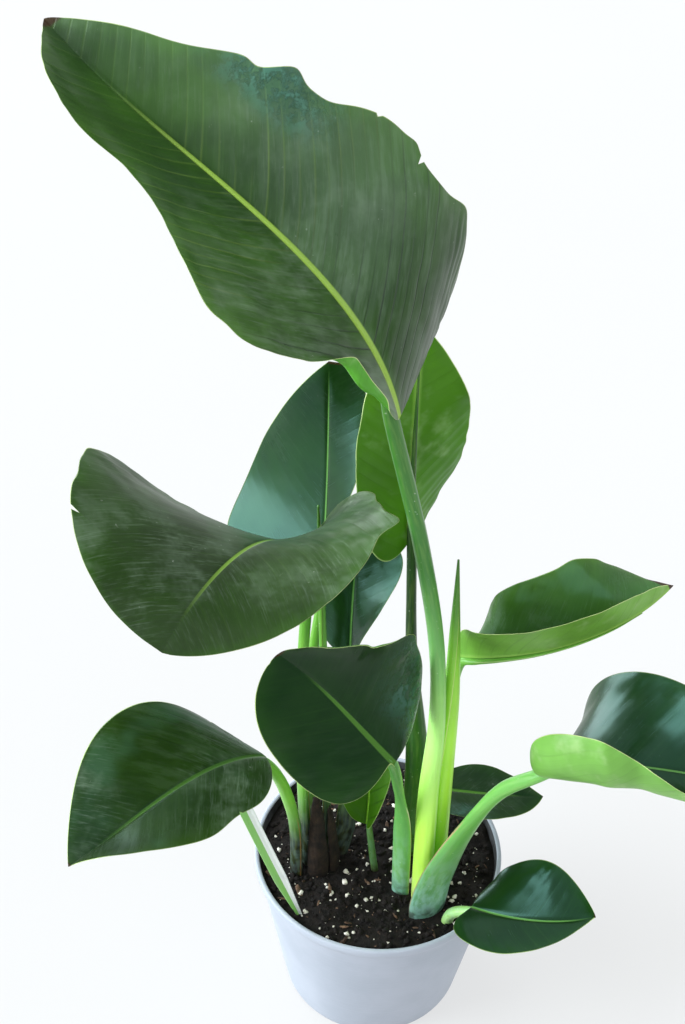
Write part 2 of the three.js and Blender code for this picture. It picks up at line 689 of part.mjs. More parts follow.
// ---------------------------------------------------------------- assembly
// Stems that stand inside others come first: each later one is cut clear of those before it.
const STEM_ORDER = [
  "main_spear", "upper_right", "crown", "rear_right", "front", "far_right", "low_right", "behind_right",
  "left_spear", "rear_left", "arching", "low_left", "mid_rear", "inner",
  "dry_sheath_front", "dry_sheath_right",
];
const leafNamed = Object.fromEntries(LEAVES.map((leaf) => [leaf.name, leaf]));
const spearNamed = Object.fromEntries(SPEARS.map((shape) => [shape.name, shape]));
const sheathNamed = Object.fromEntries(DRY_SHEATHS.map((shape) => [shape.name, shape]));

function stem(name, spare = 0) {
  if (leafNamed[name]) return stalk(leafNamed[name], spare);
  if (spearNamed[name]) return spear(spearNamed[name], spare);
  return drySheath(sheathNamed[name], spare);
}

const plant = new THREE.Group();
function place(name, solid, finish) {
  const material = new THREE.MeshStandardMaterial({ ...finish, metalness: 0 });
  const mesh = new THREE.Mesh(toGeometry(solid), material);
  mesh.name = name;
  plant.add(mesh);
}

place("pot", pot(), FINISH.pot);

const clearances = STEM_ORDER.map((name) => stem(name, FIT));
STEM_ORDER.forEach((name, i) => {
  let body = stem(name);
  for (let k = 0; k < i; k++) body = body.subtract(clearances[k]);
  const leaf = leafNamed[name];
  if (leaf) body = body.subtract(blade(leaf, FIT));
  const finish = leaf ? FINISH[leaf.tone] : FINISH[sheathNamed[name] ? "drySheath" : "stalk"];
  place(leaf ? name + "_stalk" : name, mainBody(body), finish);
});

LEAVES.forEach((leaf) => {
  place(leaf.name + "_blade", blade(leaf), leaf.name === "rear_right" ? FINISH.paleBlade : FINISH.blade);
});

let ground = soil().subtract(stake(FIT));
clearances.forEach((clearance) => {
  ground = ground.subtract(clearance);
});
place("soil", mainBody(ground), FINISH.soil);
place("care_stake", stake(), FINISH.stake);

export default plant;
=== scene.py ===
"""The looks of a young bird of paradise in its nursery pot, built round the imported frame.

Every piece is a surface worked out with numpy on a grid of two parameters, in millimetres, and turned into
a mesh in metres. Each leaf is a thin blade and a sheathing stalk. The blade's midrib is integrated from its
heading, lift and roll, and each half is an arc of changing fold and curl across it.
"""

import logging
import math
from dataclasses import dataclass, field
from enum import Enum
from typing import Iterable, Sequence

import bpy
import numpy as np
from mathutils import Matrix


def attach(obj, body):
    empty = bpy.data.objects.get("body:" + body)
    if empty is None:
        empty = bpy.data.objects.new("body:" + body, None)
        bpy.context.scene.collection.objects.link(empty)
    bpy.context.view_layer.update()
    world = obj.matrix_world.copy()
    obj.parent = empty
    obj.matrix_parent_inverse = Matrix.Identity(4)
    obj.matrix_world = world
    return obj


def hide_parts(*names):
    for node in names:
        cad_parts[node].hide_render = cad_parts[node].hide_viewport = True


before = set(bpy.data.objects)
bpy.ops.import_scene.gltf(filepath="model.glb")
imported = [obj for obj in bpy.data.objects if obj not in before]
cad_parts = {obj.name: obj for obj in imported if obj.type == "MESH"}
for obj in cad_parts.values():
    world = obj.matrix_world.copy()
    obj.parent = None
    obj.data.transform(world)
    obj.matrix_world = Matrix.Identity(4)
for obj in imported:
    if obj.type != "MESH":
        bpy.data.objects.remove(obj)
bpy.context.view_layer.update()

log = logging.getLogger("potted_plant")

MM = 0.001
UV_UNIT = 100.0  # millimetres that one unit of a piece's own UV map stands for
VEIN_SPACING = 9.2  # millimetres along the midrib between side veins
WAXY = (0.44, 0.95, 0.86)  # the sheen of a clean leaf
DULL = (0.86, 1.0, 0.9)  # the sheen of a dusty one
MIDRIB_STEPS = 121  # steps that a midrib is summed in
LATTICE = 64  # random heights along each side of a noise lattice, which then repeats
NUDGE = 1e-4  # share of a path on each side of a point that its tangent is read over
Knots = tuple[float, float, float]  # values at a blade's base, middle and tip, or a point's x, y and z
Colour = tuple[float, float, float]  # red, green and blue in linear light


def srgb(red: float, green: float, blue: float) -> Colour:
    """A colour given as eight-bit display values, in linear light."""

    def linear(value: float) -> float:
        """One channel: the display curve undone."""
        share = value / 255
        return share / 12.92 if share <= 0.04045 else ((share + 0.055) / 1.055) ** 2.4

    return linear(red), linear(green), linear(blue)


def dimmed(colour: Colour, share: float) -> Colour:
    """A colour at a share of its light."""
    return tuple(value * share for value in colour)


# ------------------------------------------------------------------------------- shapes in numbers


def along(knots: Knots, u: np.ndarray) -> np.ndarray:
    """The parabola through a value at the base, the middle and the tip of a blade.

    Args:
        knots: The values at u = 0, 0.5 and 1.
        u: Shares of the blade's length.

    Returns:
        The value at each u.
    """
    base, middle, tip = knots
    return base * (1 - u) * (1 - 2 * u) + 4 * middle * u * (1 - u) + tip * u * (2 * u - 1)


def evenly(rows: Sequence[Sequence[float]], share: np.ndarray) -> np.ndarray:
    """Values laid out evenly from 0 to 1, read at each share with straight lines between them.

    Args:
        rows: One row of values for each even step.
        share: Where to read them.

    Returns:
        An array with one row per share.
    """
    table = np.asarray(rows, float)
    steps = np.linspace(0, 1, len(table))
    return np.stack([np.interp(share, steps, column) for column in table.T], axis=-1)


def unit(vectors: np.ndarray) -> np.ndarray:
    """Vectors along the last axis, each brought to length one."""
    return vectors / np.maximum(np.linalg.norm(vectors, axis=-1, keepdims=True), 1e-12)


def smooth(low: float, high: float, value: np.ndarray) -> np.ndarray:
    """A soft step: 0 below low, 1 above high, and 3x^2 - 2x^3 between them."""
    x = np.clip((value - low) / (high - low), 0, 1)
    return x * x * (3 - 2 * x)


def running_sum(values: np.ndarray, step: np.ndarray) -> np.ndarray:
    """The trapezium integral along the last axis, which starts at zero."""
    areas = (values[..., 1:] + values[..., :-1]) / 2 * np.diff(step)
    return np.concatenate([np.zeros_like(values[..., :1]), np.cumsum(areas, axis=-1)], axis=-1)


def crowded(count: int, amount: float) -> np.ndarray:
    """Steps from 0 to 1 that crowd together at both ends: x - amount / 2pi sin(2pi x)."""
    x = np.linspace(0, 1, count + 1)
    return x - amount / (2 * np.pi) * np.sin(2 * np.pi * x)


def turned(x: np.ndarray, y: np.ndarray, angle: np.ndarray) -> tuple[np.ndarray, np.ndarray]:
    """Two coordinates turned by an angle: x cos - y sin, and x sin + y cos."""
    return x * np.cos(angle) - y * np.sin(angle), x * np.sin(angle) + y * np.cos(angle)


def lumps(x: np.ndarray, y: np.ndarray, cell: float, seed: int) -> np.ndarray:
    """Value noise from -1 to 1: random heights on a square lattice, joined by soft steps.

    Args:
        x: First coordinate, in millimetres.
        y: Second coordinate, in millimetres.
        cell: Size of a lattice cell, in millimetres.
        seed: Seed of the lattice's heights.

    Returns:
        The height at each point.
    """
    size = LATTICE
    lattice = np.random.default_rng(seed).uniform(-1, 1, (size, size))
    gx, gy = np.asarray(x) / cell, np.asarray(y) / cell
    i, j = np.floor(gx).astype(int), np.floor(gy).astype(int)
    fx, fy = gx - i, gy - j
    fx, fy = fx * fx * (3 - 2 * fx), fy * fy * (3 - 2 * fy)
    near = lattice[i % size, j % size] * (1 - fx) + lattice[(i + 1) % size, j % size] * fx
    far = lattice[i % size, (j + 1) % size] * (1 - fx) + lattice[(i + 1) % size, (j + 1) % size] * fx
    return near * (1 - fy) + far * fy


def rough(x: np.ndarray, y: np.ndarray, cell: float, seed: int, octaves: int = 3) -> np.ndarray:
    """Value noise summed over octaves, each half the size and height of the one before."""
    return sum(lumps(x, y, cell / 2**k, seed + k) / 2**k for k in range(octaves))


def smooth_path(points: Sequence[Sequence[float]], t: np.ndarray) -> np.ndarray:
    """A centripetal Catmull-Rom curve, with its end spans mirrored, read at even shares of its spans.

    Args:
        points: The points that the curve runs through.
        t: Shares of the curve, from 0 to 1.

    Returns:
        One point per share.
    """
    knots = np.asarray(points, float)
    padded = np.vstack([2 * knots[0] - knots[1], knots, 2 * knots[-1] - knots[-2]])
    spans = len(knots) - 1
    x = np.clip(t, 0, 1) * spans
    i = np.minimum(np.floor(x).astype(int), spans - 1)
    w = (x - i)[:, None]
    p0, p1, p2, p3 = padded[i], padded[i + 1], padded[i + 2], padded[i + 3]
    d0, d1, d2 = (np.linalg.norm(b - a, axis=1)[:, None] ** 0.5 for a, b in ((p0, p1), (p1, p2), (p2, p3)))
    start = ((p1 - p0) / d0 - (p2 - p0) / (d0 + d1) + (p2 - p1) / d1) * d1
    end = ((p2 - p1) / d1 - (p3 - p1) / (d1 + d2) + (p3 - p2) / d2) * d1
    return p1 + start * w + (3 * (p2 - p1) - 2 * start - end) * w**2 + (2 * (p1 - p2) + start + end) * w**3


def carried(path: Sequence[Sequence[float]], t: np.ndarray, ref: np.ndarray) -> tuple[np.ndarray, ...]:
    """A smooth path's points, with two directions square to it.

    Args:
        path: The points that the path runs through.
        t: Shares of the path.
        ref: The direction that the outward one leans towards, or one for each share.

    Returns:
        The points, the sideways directions (ref x tangent) and the outward ones (tangent x sideways).
    """
    tangent = unit(smooth_path(path, t + NUDGE) - smooth_path(path, t - NUDGE))
    side = unit(np.cross(ref, tangent))
    return smooth_path(path, t), side, unit(np.cross(tangent, side))


def ringed(track: tuple[np.ndarray, ...], wide: np.ndarray, deep: np.ndarray) -> np.ndarray:
    """Rings of points round a track from carried(): centre + sideways * wide + outward * deep."""
    centre, side, out = (part[:, None] for part in track)
    return centre + side * wide[..., None] + out * deep[..., None]


# ------------------------------------------------------------------------------- meshes


def placed(name: str, data: bpy.types.ID) -> bpy.types.Object:
    """An object at the origin, linked into the scene."""
    obj = bpy.data.objects.new(name, data)
    bpy.context.scene.collection.objects.link(obj)
    return obj


@dataclass
class Skin:
    """A closed surface before it becomes a piece: points in millimetres, faces, UV maps and materials."""

    points: np.ndarray
    faces: list[np.ndarray]
    maps: dict[str, np.ndarray] = field(default_factory=dict)
    slots: list[int] = field(default_factory=list)

    def piece(
        self,
        name: str,
        materials: Sequence[bpy.types.Material],
        slot: str,
        nodes: Iterable[str] = (),
    ) -> bpy.types.Object:
        """Makes the object, dresses it and ties it to the frame.

        Args:
            name: The piece's name.
            materials: Its materials, in the order that slots counts them.
            slot: Not used.
            nodes: The frame's nodes that it stands for.

        Returns:
            The object, at the origin, with its place in its mesh.
        """
        mesh = bpy.data.meshes.new(name)
        faces = [row for block in self.faces for row in block.tolist()]
        mesh.from_pydata((self.points * MM).tolist(), [], faces)
        corner = np.empty(len(mesh.loops), np.int32)
        mesh.loops.foreach_get("vertex_index", corner)
        for title, values in self.maps.items():
            layer = mesh.uv_layers.new(name=title)
            layer.data.foreach_set("uv", values[corner].astype(np.float32).ravel())
        for material in materials:
            mesh.materials.append(material)
        if self.slots:
            order = np.repeat(self.slots, [len(block) for block in self.faces]).astype(np.int32)
            mesh.polygons.foreach_set("material_index", order)
        mesh.shade_smooth()
        mesh.update()
        obj = placed(name, mesh)
        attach(obj, "root")
        if nodes:
            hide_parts(*nodes)
        box = [np.round(edge(self.points, axis=0), 1).tolist() for edge in (np.min, np.max)]
        log.info("%s: %d points, %d faces, %s mm", name, len(mesh.vertices), len(mesh.polygons), box)
        return obj


def tube(rings: np.ndarray, maps: dict[str, np.ndarray] | None = None) -> Skin:
    """A closed skin over rings of points, with a fan over each end.

    Args:
        rings: Points of shape (rings, sides, 3), anticlockwise as seen from the last ring's end.
        maps: UV maps of shape (rings, sides, 2).

    Returns:
        The skin.
    """
    count, sides = rings.shape[:2]
    index = np.arange(count * sides).reshape(count, sides)
    beside = np.roll(index, -1, axis=1)
    wall = np.stack([index[:-1], beside[:-1], beside[1:], index[1:]], axis=-1).reshape(-1, 4)
    foot = np.stack([np.full(sides, count * sides), beside[0], index[0]], axis=-1)
    top = np.stack([np.full(sides, count * sides + 1), index[-1], beside[-1]], axis=-1)
    points = np.vstack([rings.reshape(-1, 3), rings[0].mean(0), rings[-1].mean(0)])
    full = {
        title: np.vstack([grid.reshape(-1, 2), grid[0].mean(0), grid[-1].mean(0)])
        for title, grid in (maps or {}).items()
    }
    return Skin(points, [wall, foot, top], full)


def paired_faces(rows: int, wide: int) -> list[np.ndarray]:
    """Faces of two grids of points that share their outline.

    Args:
        rows: Rows of the first grid, whose points are counted first.
        wide: Points in a row.

    Returns:
        The first grid's faces, then the second's, which look the other way.
    """
    index = np.arange(rows * wide).reshape(rows, wide)
    under = index.copy()
    under[1:-1, 1:-1] = index.size + np.arange((rows - 2) * (wide - 2)).reshape(-1, wide - 2)
    first, second = (
        np.stack([grid[:-1, :-1], grid[1:, :-1], grid[1:, 1:], grid[:-1, 1:]], -1).reshape(-1, 4)
        for grid in (index, under)
    )
    return [first, second[:, ::-1]]


# ------------------------------------------------------------------------------- the plant's measures


@dataclass(frozen=True)
class Half:
    """One half of a blade beside its midrib.

    full and point shape the outline towards the base and the tip, lobe draws the base's margin back, fold
    tips the half up from the midrib, curl bends it on towards its margin, and ripple (share, waves, phase)
    scallops the margin.
    """

    width: float
    full: float
    point: float
    lobe: float
    fold: Knots
    curl: Knots
    ripple: Knots = (0, 0, 0)


@dataclass(frozen=True)
class Roll:
    """A stretch of margin that has rolled over.

    It lies on one side, runs from start to end along the blade, begins at inner across the half, and turns
    by turn degrees.
    """

    side: int
    start: float
    end: float
    inner: float
    turn: float


@dataclass(frozen=True)
class Swell:
    """A bulge in a margin, or a hollow where height is negative, measured in shares of the blade."""

    side: int
    place: float
    spread: float
    height: float


@dataclass(frozen=True)
class Tear:
    """A notch in a margin: its side, its place along the blade, its half width and its depth, as shares."""

    side: int
    place: float
    spread: float
    depth: float


class Tone(Enum):
    """How old and how glossy a blade is."""

    DUSTY = "dusty"
    AGED = "aged"
    CLOUDY = "cloudy"
    PLAIN = "plain"
    DARK = "dark"
    GLOSSY = "glossy"
    FRESH = "fresh"


@dataclass(frozen=True)
class Leaf:
    """A leaf's measures in millimetres and degrees, with each Knots at the blade's base, middle and tip."""

    name: str
    collar: Knots
    length: float
    sweep: float
    heading: Knots
    lift: Knots
    roll: Knots
    left: Half
    right: Half
    foot: tuple[float, float]
    via: tuple[Knots, ...]
    face: float
    clasp: float
    girth: tuple[tuple[float, float], ...]
    tone: Tone
    sheath: str
    grid: tuple[int, int] = (150, 40)
    rolls: tuple[Roll, ...] = ()
    tears: tuple[Tear, ...] = ()
    swells: tuple[Swell, ...] = ()
    wave: float = 0.7
    ribbed: float = 0.06


LEFT, RIGHT = 1, -1
LEAVES = (
    Leaf(
        "crown", (-5, -41, 505), 259, 0.0, (172, 165, 148), (77, 38, 37), (-19, -30, -23),
        Half(71, 0.79, 0.87, -0.16, (20, 29, 39), (-3, 5, 14), (-0.21, 2, -0.07)),
        Half(87, 0.11, 0.74, -0.16, (-9, 24, 20), (0, 0, 0), (0.04, 4, 0.56)),
        (31, -36), ((29, -37, 220), (29.4, -38, 290), (24.2, -38, 352), (10, -40, 427)), 10, 0.4,
        ((10, 8), (10, 8), (8, 6.5), (5.6, 5.2), (5, 4.8), (4.8, 4.4), (4.6, 4)),
        Tone.DUSTY, "main", (240, 56), (Roll(LEFT, 0.03, 0.27, 0.7, 150),),
        (Tear(RIGHT, 0.024, 0.01, 0.16), Tear(RIGHT, 0.335, 0.004, 0.05), Tear(RIGHT, 0.44, 0.003, 0.05)),
        (
            Swell(RIGHT, 0.056, 0.026, 0.07), Swell(RIGHT, 0.2, 0.03, 0.04),
            Swell(RIGHT, 0.36, 0.02, 0.03), Swell(RIGHT, 0.6, 0.024, 0.08),
            Swell(RIGHT, 0.655, 0.022, -0.06), Swell(RIGHT, 0.52, 0.03, -0.03),
            Swell(LEFT, 0.14, 0.05, 0.3), Swell(LEFT, 0.42, 0.03, -0.03), Swell(LEFT, 0.8, 0.06, 0.08),
        ), 1.0, 0.24,
    ),
    Leaf(
        "arching", (-54, 31, 359), 197, -0.07, (252, 249, 240), (45, 26, -35), (16, -4, -20),
        Half(69, 0.55, 0.63, -0.21, (37, 8, -3), (27, 24, -5)),
        Half(101, 0.71, 0.53, -0.21, (3, 0, 10), (24, 22, -1)),
        (-46, -11), ((-52, 2, 190), (-54, 24, 270), (-52, 38, 332)), 40, 0.6,
        ((6, 4.5), (5, 4), (4, 3.6), (3.6, 3.4), (3.4, 3.2)),
        Tone.AGED, "side", (180, 50), (), (Tear(RIGHT, 0.84, 0.004, 0.08),),
        (
            Swell(RIGHT, 0.3, 0.08, -0.05), Swell(RIGHT, 0.62, 0.03, 0.02), Swell(RIGHT, 0.74, 0.04, -0.03),
            Swell(LEFT, 0.43, 0.035, 0.14), Swell(LEFT, 0.13, 0.03, -0.05), Swell(LEFT, 0.3, 0.04, -0.04),
        ), 0.7, 0.1,
    ),
    Leaf(
        "rear_right", (8, 34, 364), 150, 0.22, (-85, -90, -94), (96, 92, 96), (35, 17, 0),
        Half(40, 0.47, 0.95, 0.25, (21, 8, 1), (14, 2, -6)),
        Half(35, 0.5, 0.8, 0.9, (8, 5, 7), (-13, -9, -1)),
        (23, 2), ((22, 8, 205), (14, 21, 292)), 90, 0.8,
        ((6, 5), (8, 5), (7, 4.5), (4, 3.6), (3.2, 3.2), (3, 3)),
        Tone.FRESH, "dark", (150, 40), (), (),
        (Swell(LEFT, 0.16, 0.03, -0.08), Swell(LEFT, 0.27, 0.04, 0.05), Swell(LEFT, 0.4, 0.03, -0.03)),
        1.1, 0.16,
    ),
    Leaf(
        "rear_left", (-44, 53.0, 320), 142, 0.03, (84, 90, 96), (62, 73, 87), (-36, -30, -13),
        Half(78, 0.15, 0.95, 0.08, (15, -6, -6), (5, -8, -9)),
        Half(27, 0.66, 0.29, 0.08, (24, 19, 3), (0, 0, 0)),
        (-39, -8), ((-48, 16, 185), (-49, 34, 258)), -90, 0.6,
        ((5, 4.5), (4.4, 4), (3.6, 3.4), (3.4, 3.2), (3.2, 3)),
        Tone.GLOSSY, "side", (150, 40), (), (),
        (Swell(LEFT, 0.55, 0.14, 0.03), Swell(LEFT, 0.08, 0.06, -0.06), Swell(RIGHT, 0.5, 0.12, 0.12)),
        0.1, 0.02,
    ),
    Leaf(
        "front", (3, -72, 286), 118, 0.34, (184, 193, 190), (54, 57, 47), (-57, -77, -90),
        Half(47, 0.45, 0.73, 1.4, (-4, -2, 7), (0, 0, 0)),
        Half(54, 0.35, 0.62, 0.23, (-12, 10, 21), (-35, -10, 6)),
        (16, -30), ((14, -31, 175), (12, -40, 212), (7, -56, 250)), 55, 1.2,
        ((6.5, 4.5), (7, 4.5), (6, 4.2), (3.6, 3.4), (3.2, 3)),
        Tone.DARK, "front", (150, 40),
        (Roll(RIGHT, 0.5, 0.98, 0.88, 125),), (Tear(LEFT, 0.97, 0.008, 0.1),),
        (Swell(RIGHT, 0.48, 0.07, 0.09), Swell(RIGHT, 0.66, 0.03, -0.05), Swell(LEFT, 0.0, 0.14, -1.0)),
    ),
    Leaf(
        "low_left", (-74, -40, 254), 142.6, 0.13, (215, 223, 221), (35, -4, -6), (4, -1, 13),
        Half(44, 0.58, 0.94, -0.1, (4, 6, 27), (-15, -7, 12)),
        Half(59, 0.48, 0.88, -0.1, (-3, 18, 15), (-14, 4, 5)),
        (-54, -17), ((-55, -18, 165), (-61, -23, 200), (-67, -31, 226)), 20, 0.6,
        ((5.4, 5.6), (5.2, 5.6), (4.6, 4.8), (4, 3.8), (3.6, 3.4)),
        Tone.CLOUDY, "side", (230, 40), (),
        (
            Tear(RIGHT, 0.026, 0.007, 0.2), Tear(RIGHT, 0.044, 0.007, 0.26),
            Tear(RIGHT, 0.063, 0.008, 0.22), Tear(RIGHT, 0.084, 0.008, 0.14), Tear(LEFT, 0.3, 0.006, 0.06),
        ),
        (
            Swell(RIGHT, 0.062, 0.02, 0.06), Swell(RIGHT, 0.6, 0.16, 0.02), Swell(LEFT, 0.32, 0.12, -0.13),
            Swell(LEFT, 0.8, 0.05, 0.03),
        ), 0.15,
    ),
    Leaf(
        "upper_right", (41, -13, 317), 145, -0.1, (-44, 2, 47), (31, 23, 14), (-4, 7, -27),
        Half(46, 0.62, 0.49, -0.17, (25, 64, 17), (0, 0, 0)),
        Half(35, 0.53, 0.85, -0.17, (78, 68, 85), (0, 0, 0)),
        (38, -20), ((37, -19, 220), (37, -17, 280)), -90, 0.5,
        ((5, 4), (4.6, 4), (4, 3.8), (3.6, 3.6), (3.2, 3)),
        Tone.PLAIN, "light", (150, 40), (), (),
        (Swell(LEFT, 0.66, 0.06, 0.04), Swell(LEFT, 0.86, 0.05, -0.05)),
    ),
    Leaf(
        "far_right", (87, -62, 275), 150, -0.17, (-11, -9, -19), (31, 0, 14), (-18, 8, 34),
        Half(75, 0.12, 0.73, -0.11, (-18, 15, 34), (0, 0, 0)),
        Half(70, 0.46, 1.17, -0.11, (-20, -1, 2), (147, 102, 28)),
        (32, -44), ((34.6, -47, 145), (49, -50, 200), (68, -55, 245)), 115, 1.3,
        ((12, 6.5), (14, 6.5), (13, 6), (9.4, 5.5), (6, 5), (5.2, 4.6), (4.6, 4)),
        Tone.GLOSSY, "wide", (170, 48), (), (Tear(LEFT, 0.06, 0.02, 0.05),),
        (Swell(RIGHT, 0.3, 0.04, 0.06), Swell(RIGHT, 0.42, 0.05, -0.08), Swell(LEFT, 0.1, 0.03, -0.03)),
        0.5, 0.03,
    ),
    Leaf(
        "low_right", (60, -60, 140), 82, 0.2, (-34, -14, 8), (17, 12, 12), (-5, 4, 0),
        Half(39, 0.54, 0.74, 0.21, (11, 25, 18), (-15, 1, 4)),
        Half(31, 0.34, 1.11, 0.21, (9, 9, 17), (-11, -5, 6)),
        (45, -52), ((48, -54, 124),), 140, 0.2,
        ((4.6, 4.2), (4.4, 4), (3, 2.6)),
        Tone.GLOSSY, "pale", (110, 36),
    ),
    Leaf(
        "behind_right", (39, 19, 163), 72, 0.17, (-18, -7, 3), (14, 4, -2), (-11, -7, -4),
        Half(29, 0.42, 0.95, 0.19, (6, 2, -2), (0, 0, 0)),
        Half(32, 0.46, 0.9, 0.19, (14, 6, 2), (0, 0, 0)),
        (38, 18), ((37, 19, 140),), 160, 0.3,
        ((3, 2.8), (2.8, 2.6), (2.4, 2.2)),
        Tone.DARK, "pale", (100, 32),
    ),
    Leaf(
        "mid_rear", (-24, 37, 266), 80, 0.22, (92, 85, 77), (64, 67, 76), (-50, -20, 9),
        Half(27, 0.44, 0.82, -0.05, (9, 6, 4), (0, 0, 0)),
        Half(34, 0.7, 0.27, -0.05, (28, 21, 16), (0, 0, 0)),
        (-28, -4), ((-22, 3, 160), (-22, 20, 215)), -90, 0.9,
        ((3, 2.6), (7, 3.4), (5, 3.2), (3, 2.8), (2.6, 2.4)),
        Tone.GLOSSY, "side", (110, 32),
    ),
    Leaf(
        "inner", (-9, -12, 161), 93, 0.21, (79, 98, 119), (74, 67, 62), (-26, -13, 1),
        Half(20, 0.4, 0.82, 0.14, (16, 10, 8), (0, 0, 0)),
        Half(21, 0.49, 0.75, 0.14, (53, 38, 18), (0, 0, 0)),
        (1, -16), ((-5, -14, 140),), -90, 0.3,
        ((2.6, 2.4), (2.3, 2.1), (2, 1.8)),
        Tone.FRESH, "dark", (100, 28),
    ),
)


@dataclass(frozen=True)
class PotSize:
    """The nursery pot and its mix, in millimetres."""

    height: float = 123
    base: float = 63
    rim: float = 85
    wall: float = 1.8
    lip_height: float = 7
    lip_width: float = 1.2
    floor: float = 2.5
    soil: float = 117
    stem_depth: float = 20
    holes: int = 6
    hole_radius: float = 5
    hole_circle: float = 42

    def inside(self, z: float | np.ndarray) -> float | np.ndarray:
        """The inner wall's radius at a height: a straight taper from the base to the rim."""
        return self.base + (self.rim - self.lip_width - self.base) * z / self.height - self.wall


POT = PotSize()
RIBS, RIB_HEIGHT = 13, 0.012  # low ribs round a stalk, and their height against its width
STALK_TOP = 0.56  # height in metres that a stalk's colours are laid out over
DRY_EDGE = 0.008  # share of a blade over which its dry tip fades in
BLADE_THICKNESS = 0.9  # room kept for a blade, in millimetres
FIT = 0.3  # room kept between two pieces, in millimetres
KEEL = (0, 0.08, 0.2, 0.36, 0.52, 0.68, 0.82)  # shares of a blade that its keel is laid through
KEEL_TAPER = 0.16  # the keel's size at its end against its size at the collar
KEEL_HOLLOW = 0.75  # how far its upper side is drawn in under the blade


# ------------------------------------------------------------------------------- shader words


class Wire:
    """A number on a socket, with Python's own arithmetic."""

    def __init__(self, board: "Board", socket: bpy.types.NodeSocket) -> None:
        """Keeps the board that the socket belongs to."""
        self.board = board
        self.socket = socket

    def _maths(self, operation: str, *values: "Wire | float") -> "Wire":
        """One Math node on this number and others."""
        return self.board.wire("ShaderNodeMath", {"operation": operation}, dict(enumerate(values)))

    def __add__(self, other: "Wire | float") -> "Wire":
        """The sum."""
        return self._maths("ADD", self, other)

    def __sub__(self, other: "Wire | float") -> "Wire":
        """The difference."""
        return self._maths("SUBTRACT", self, other)

    def __rsub__(self, other: float) -> "Wire":
        """A plain number less this one."""
        return self._maths("SUBTRACT", other, self)

    def __mul__(self, other: "Wire | float") -> "Wire":
        """The product."""
        return self._maths("MULTIPLY", self, other)

    def __truediv__(self, other: "Wire | float") -> "Wire":
        """The quotient."""
        return self._maths("DIVIDE", self, other)

    __radd__ = __add__
    __rmul__ = __mul__

    def size(self) -> "Wire":
        """The number without its sign."""
        return self._maths("ABSOLUTE", self)

    def share(self) -> "Wire":
        """What is left above the next whole number below."""
        return self._maths("FRACT", self)

    def step(self, low: float, high: float) -> "Wire":
        """A soft step from 0 at low to 1 at high, or down again where low is the larger."""
        names = {"Value": self, "From Min": low, "From Max": high}
        return self.board.wire("ShaderNodeMapRange", {"interpolation_type": "SMOOTHSTEP"}, names)


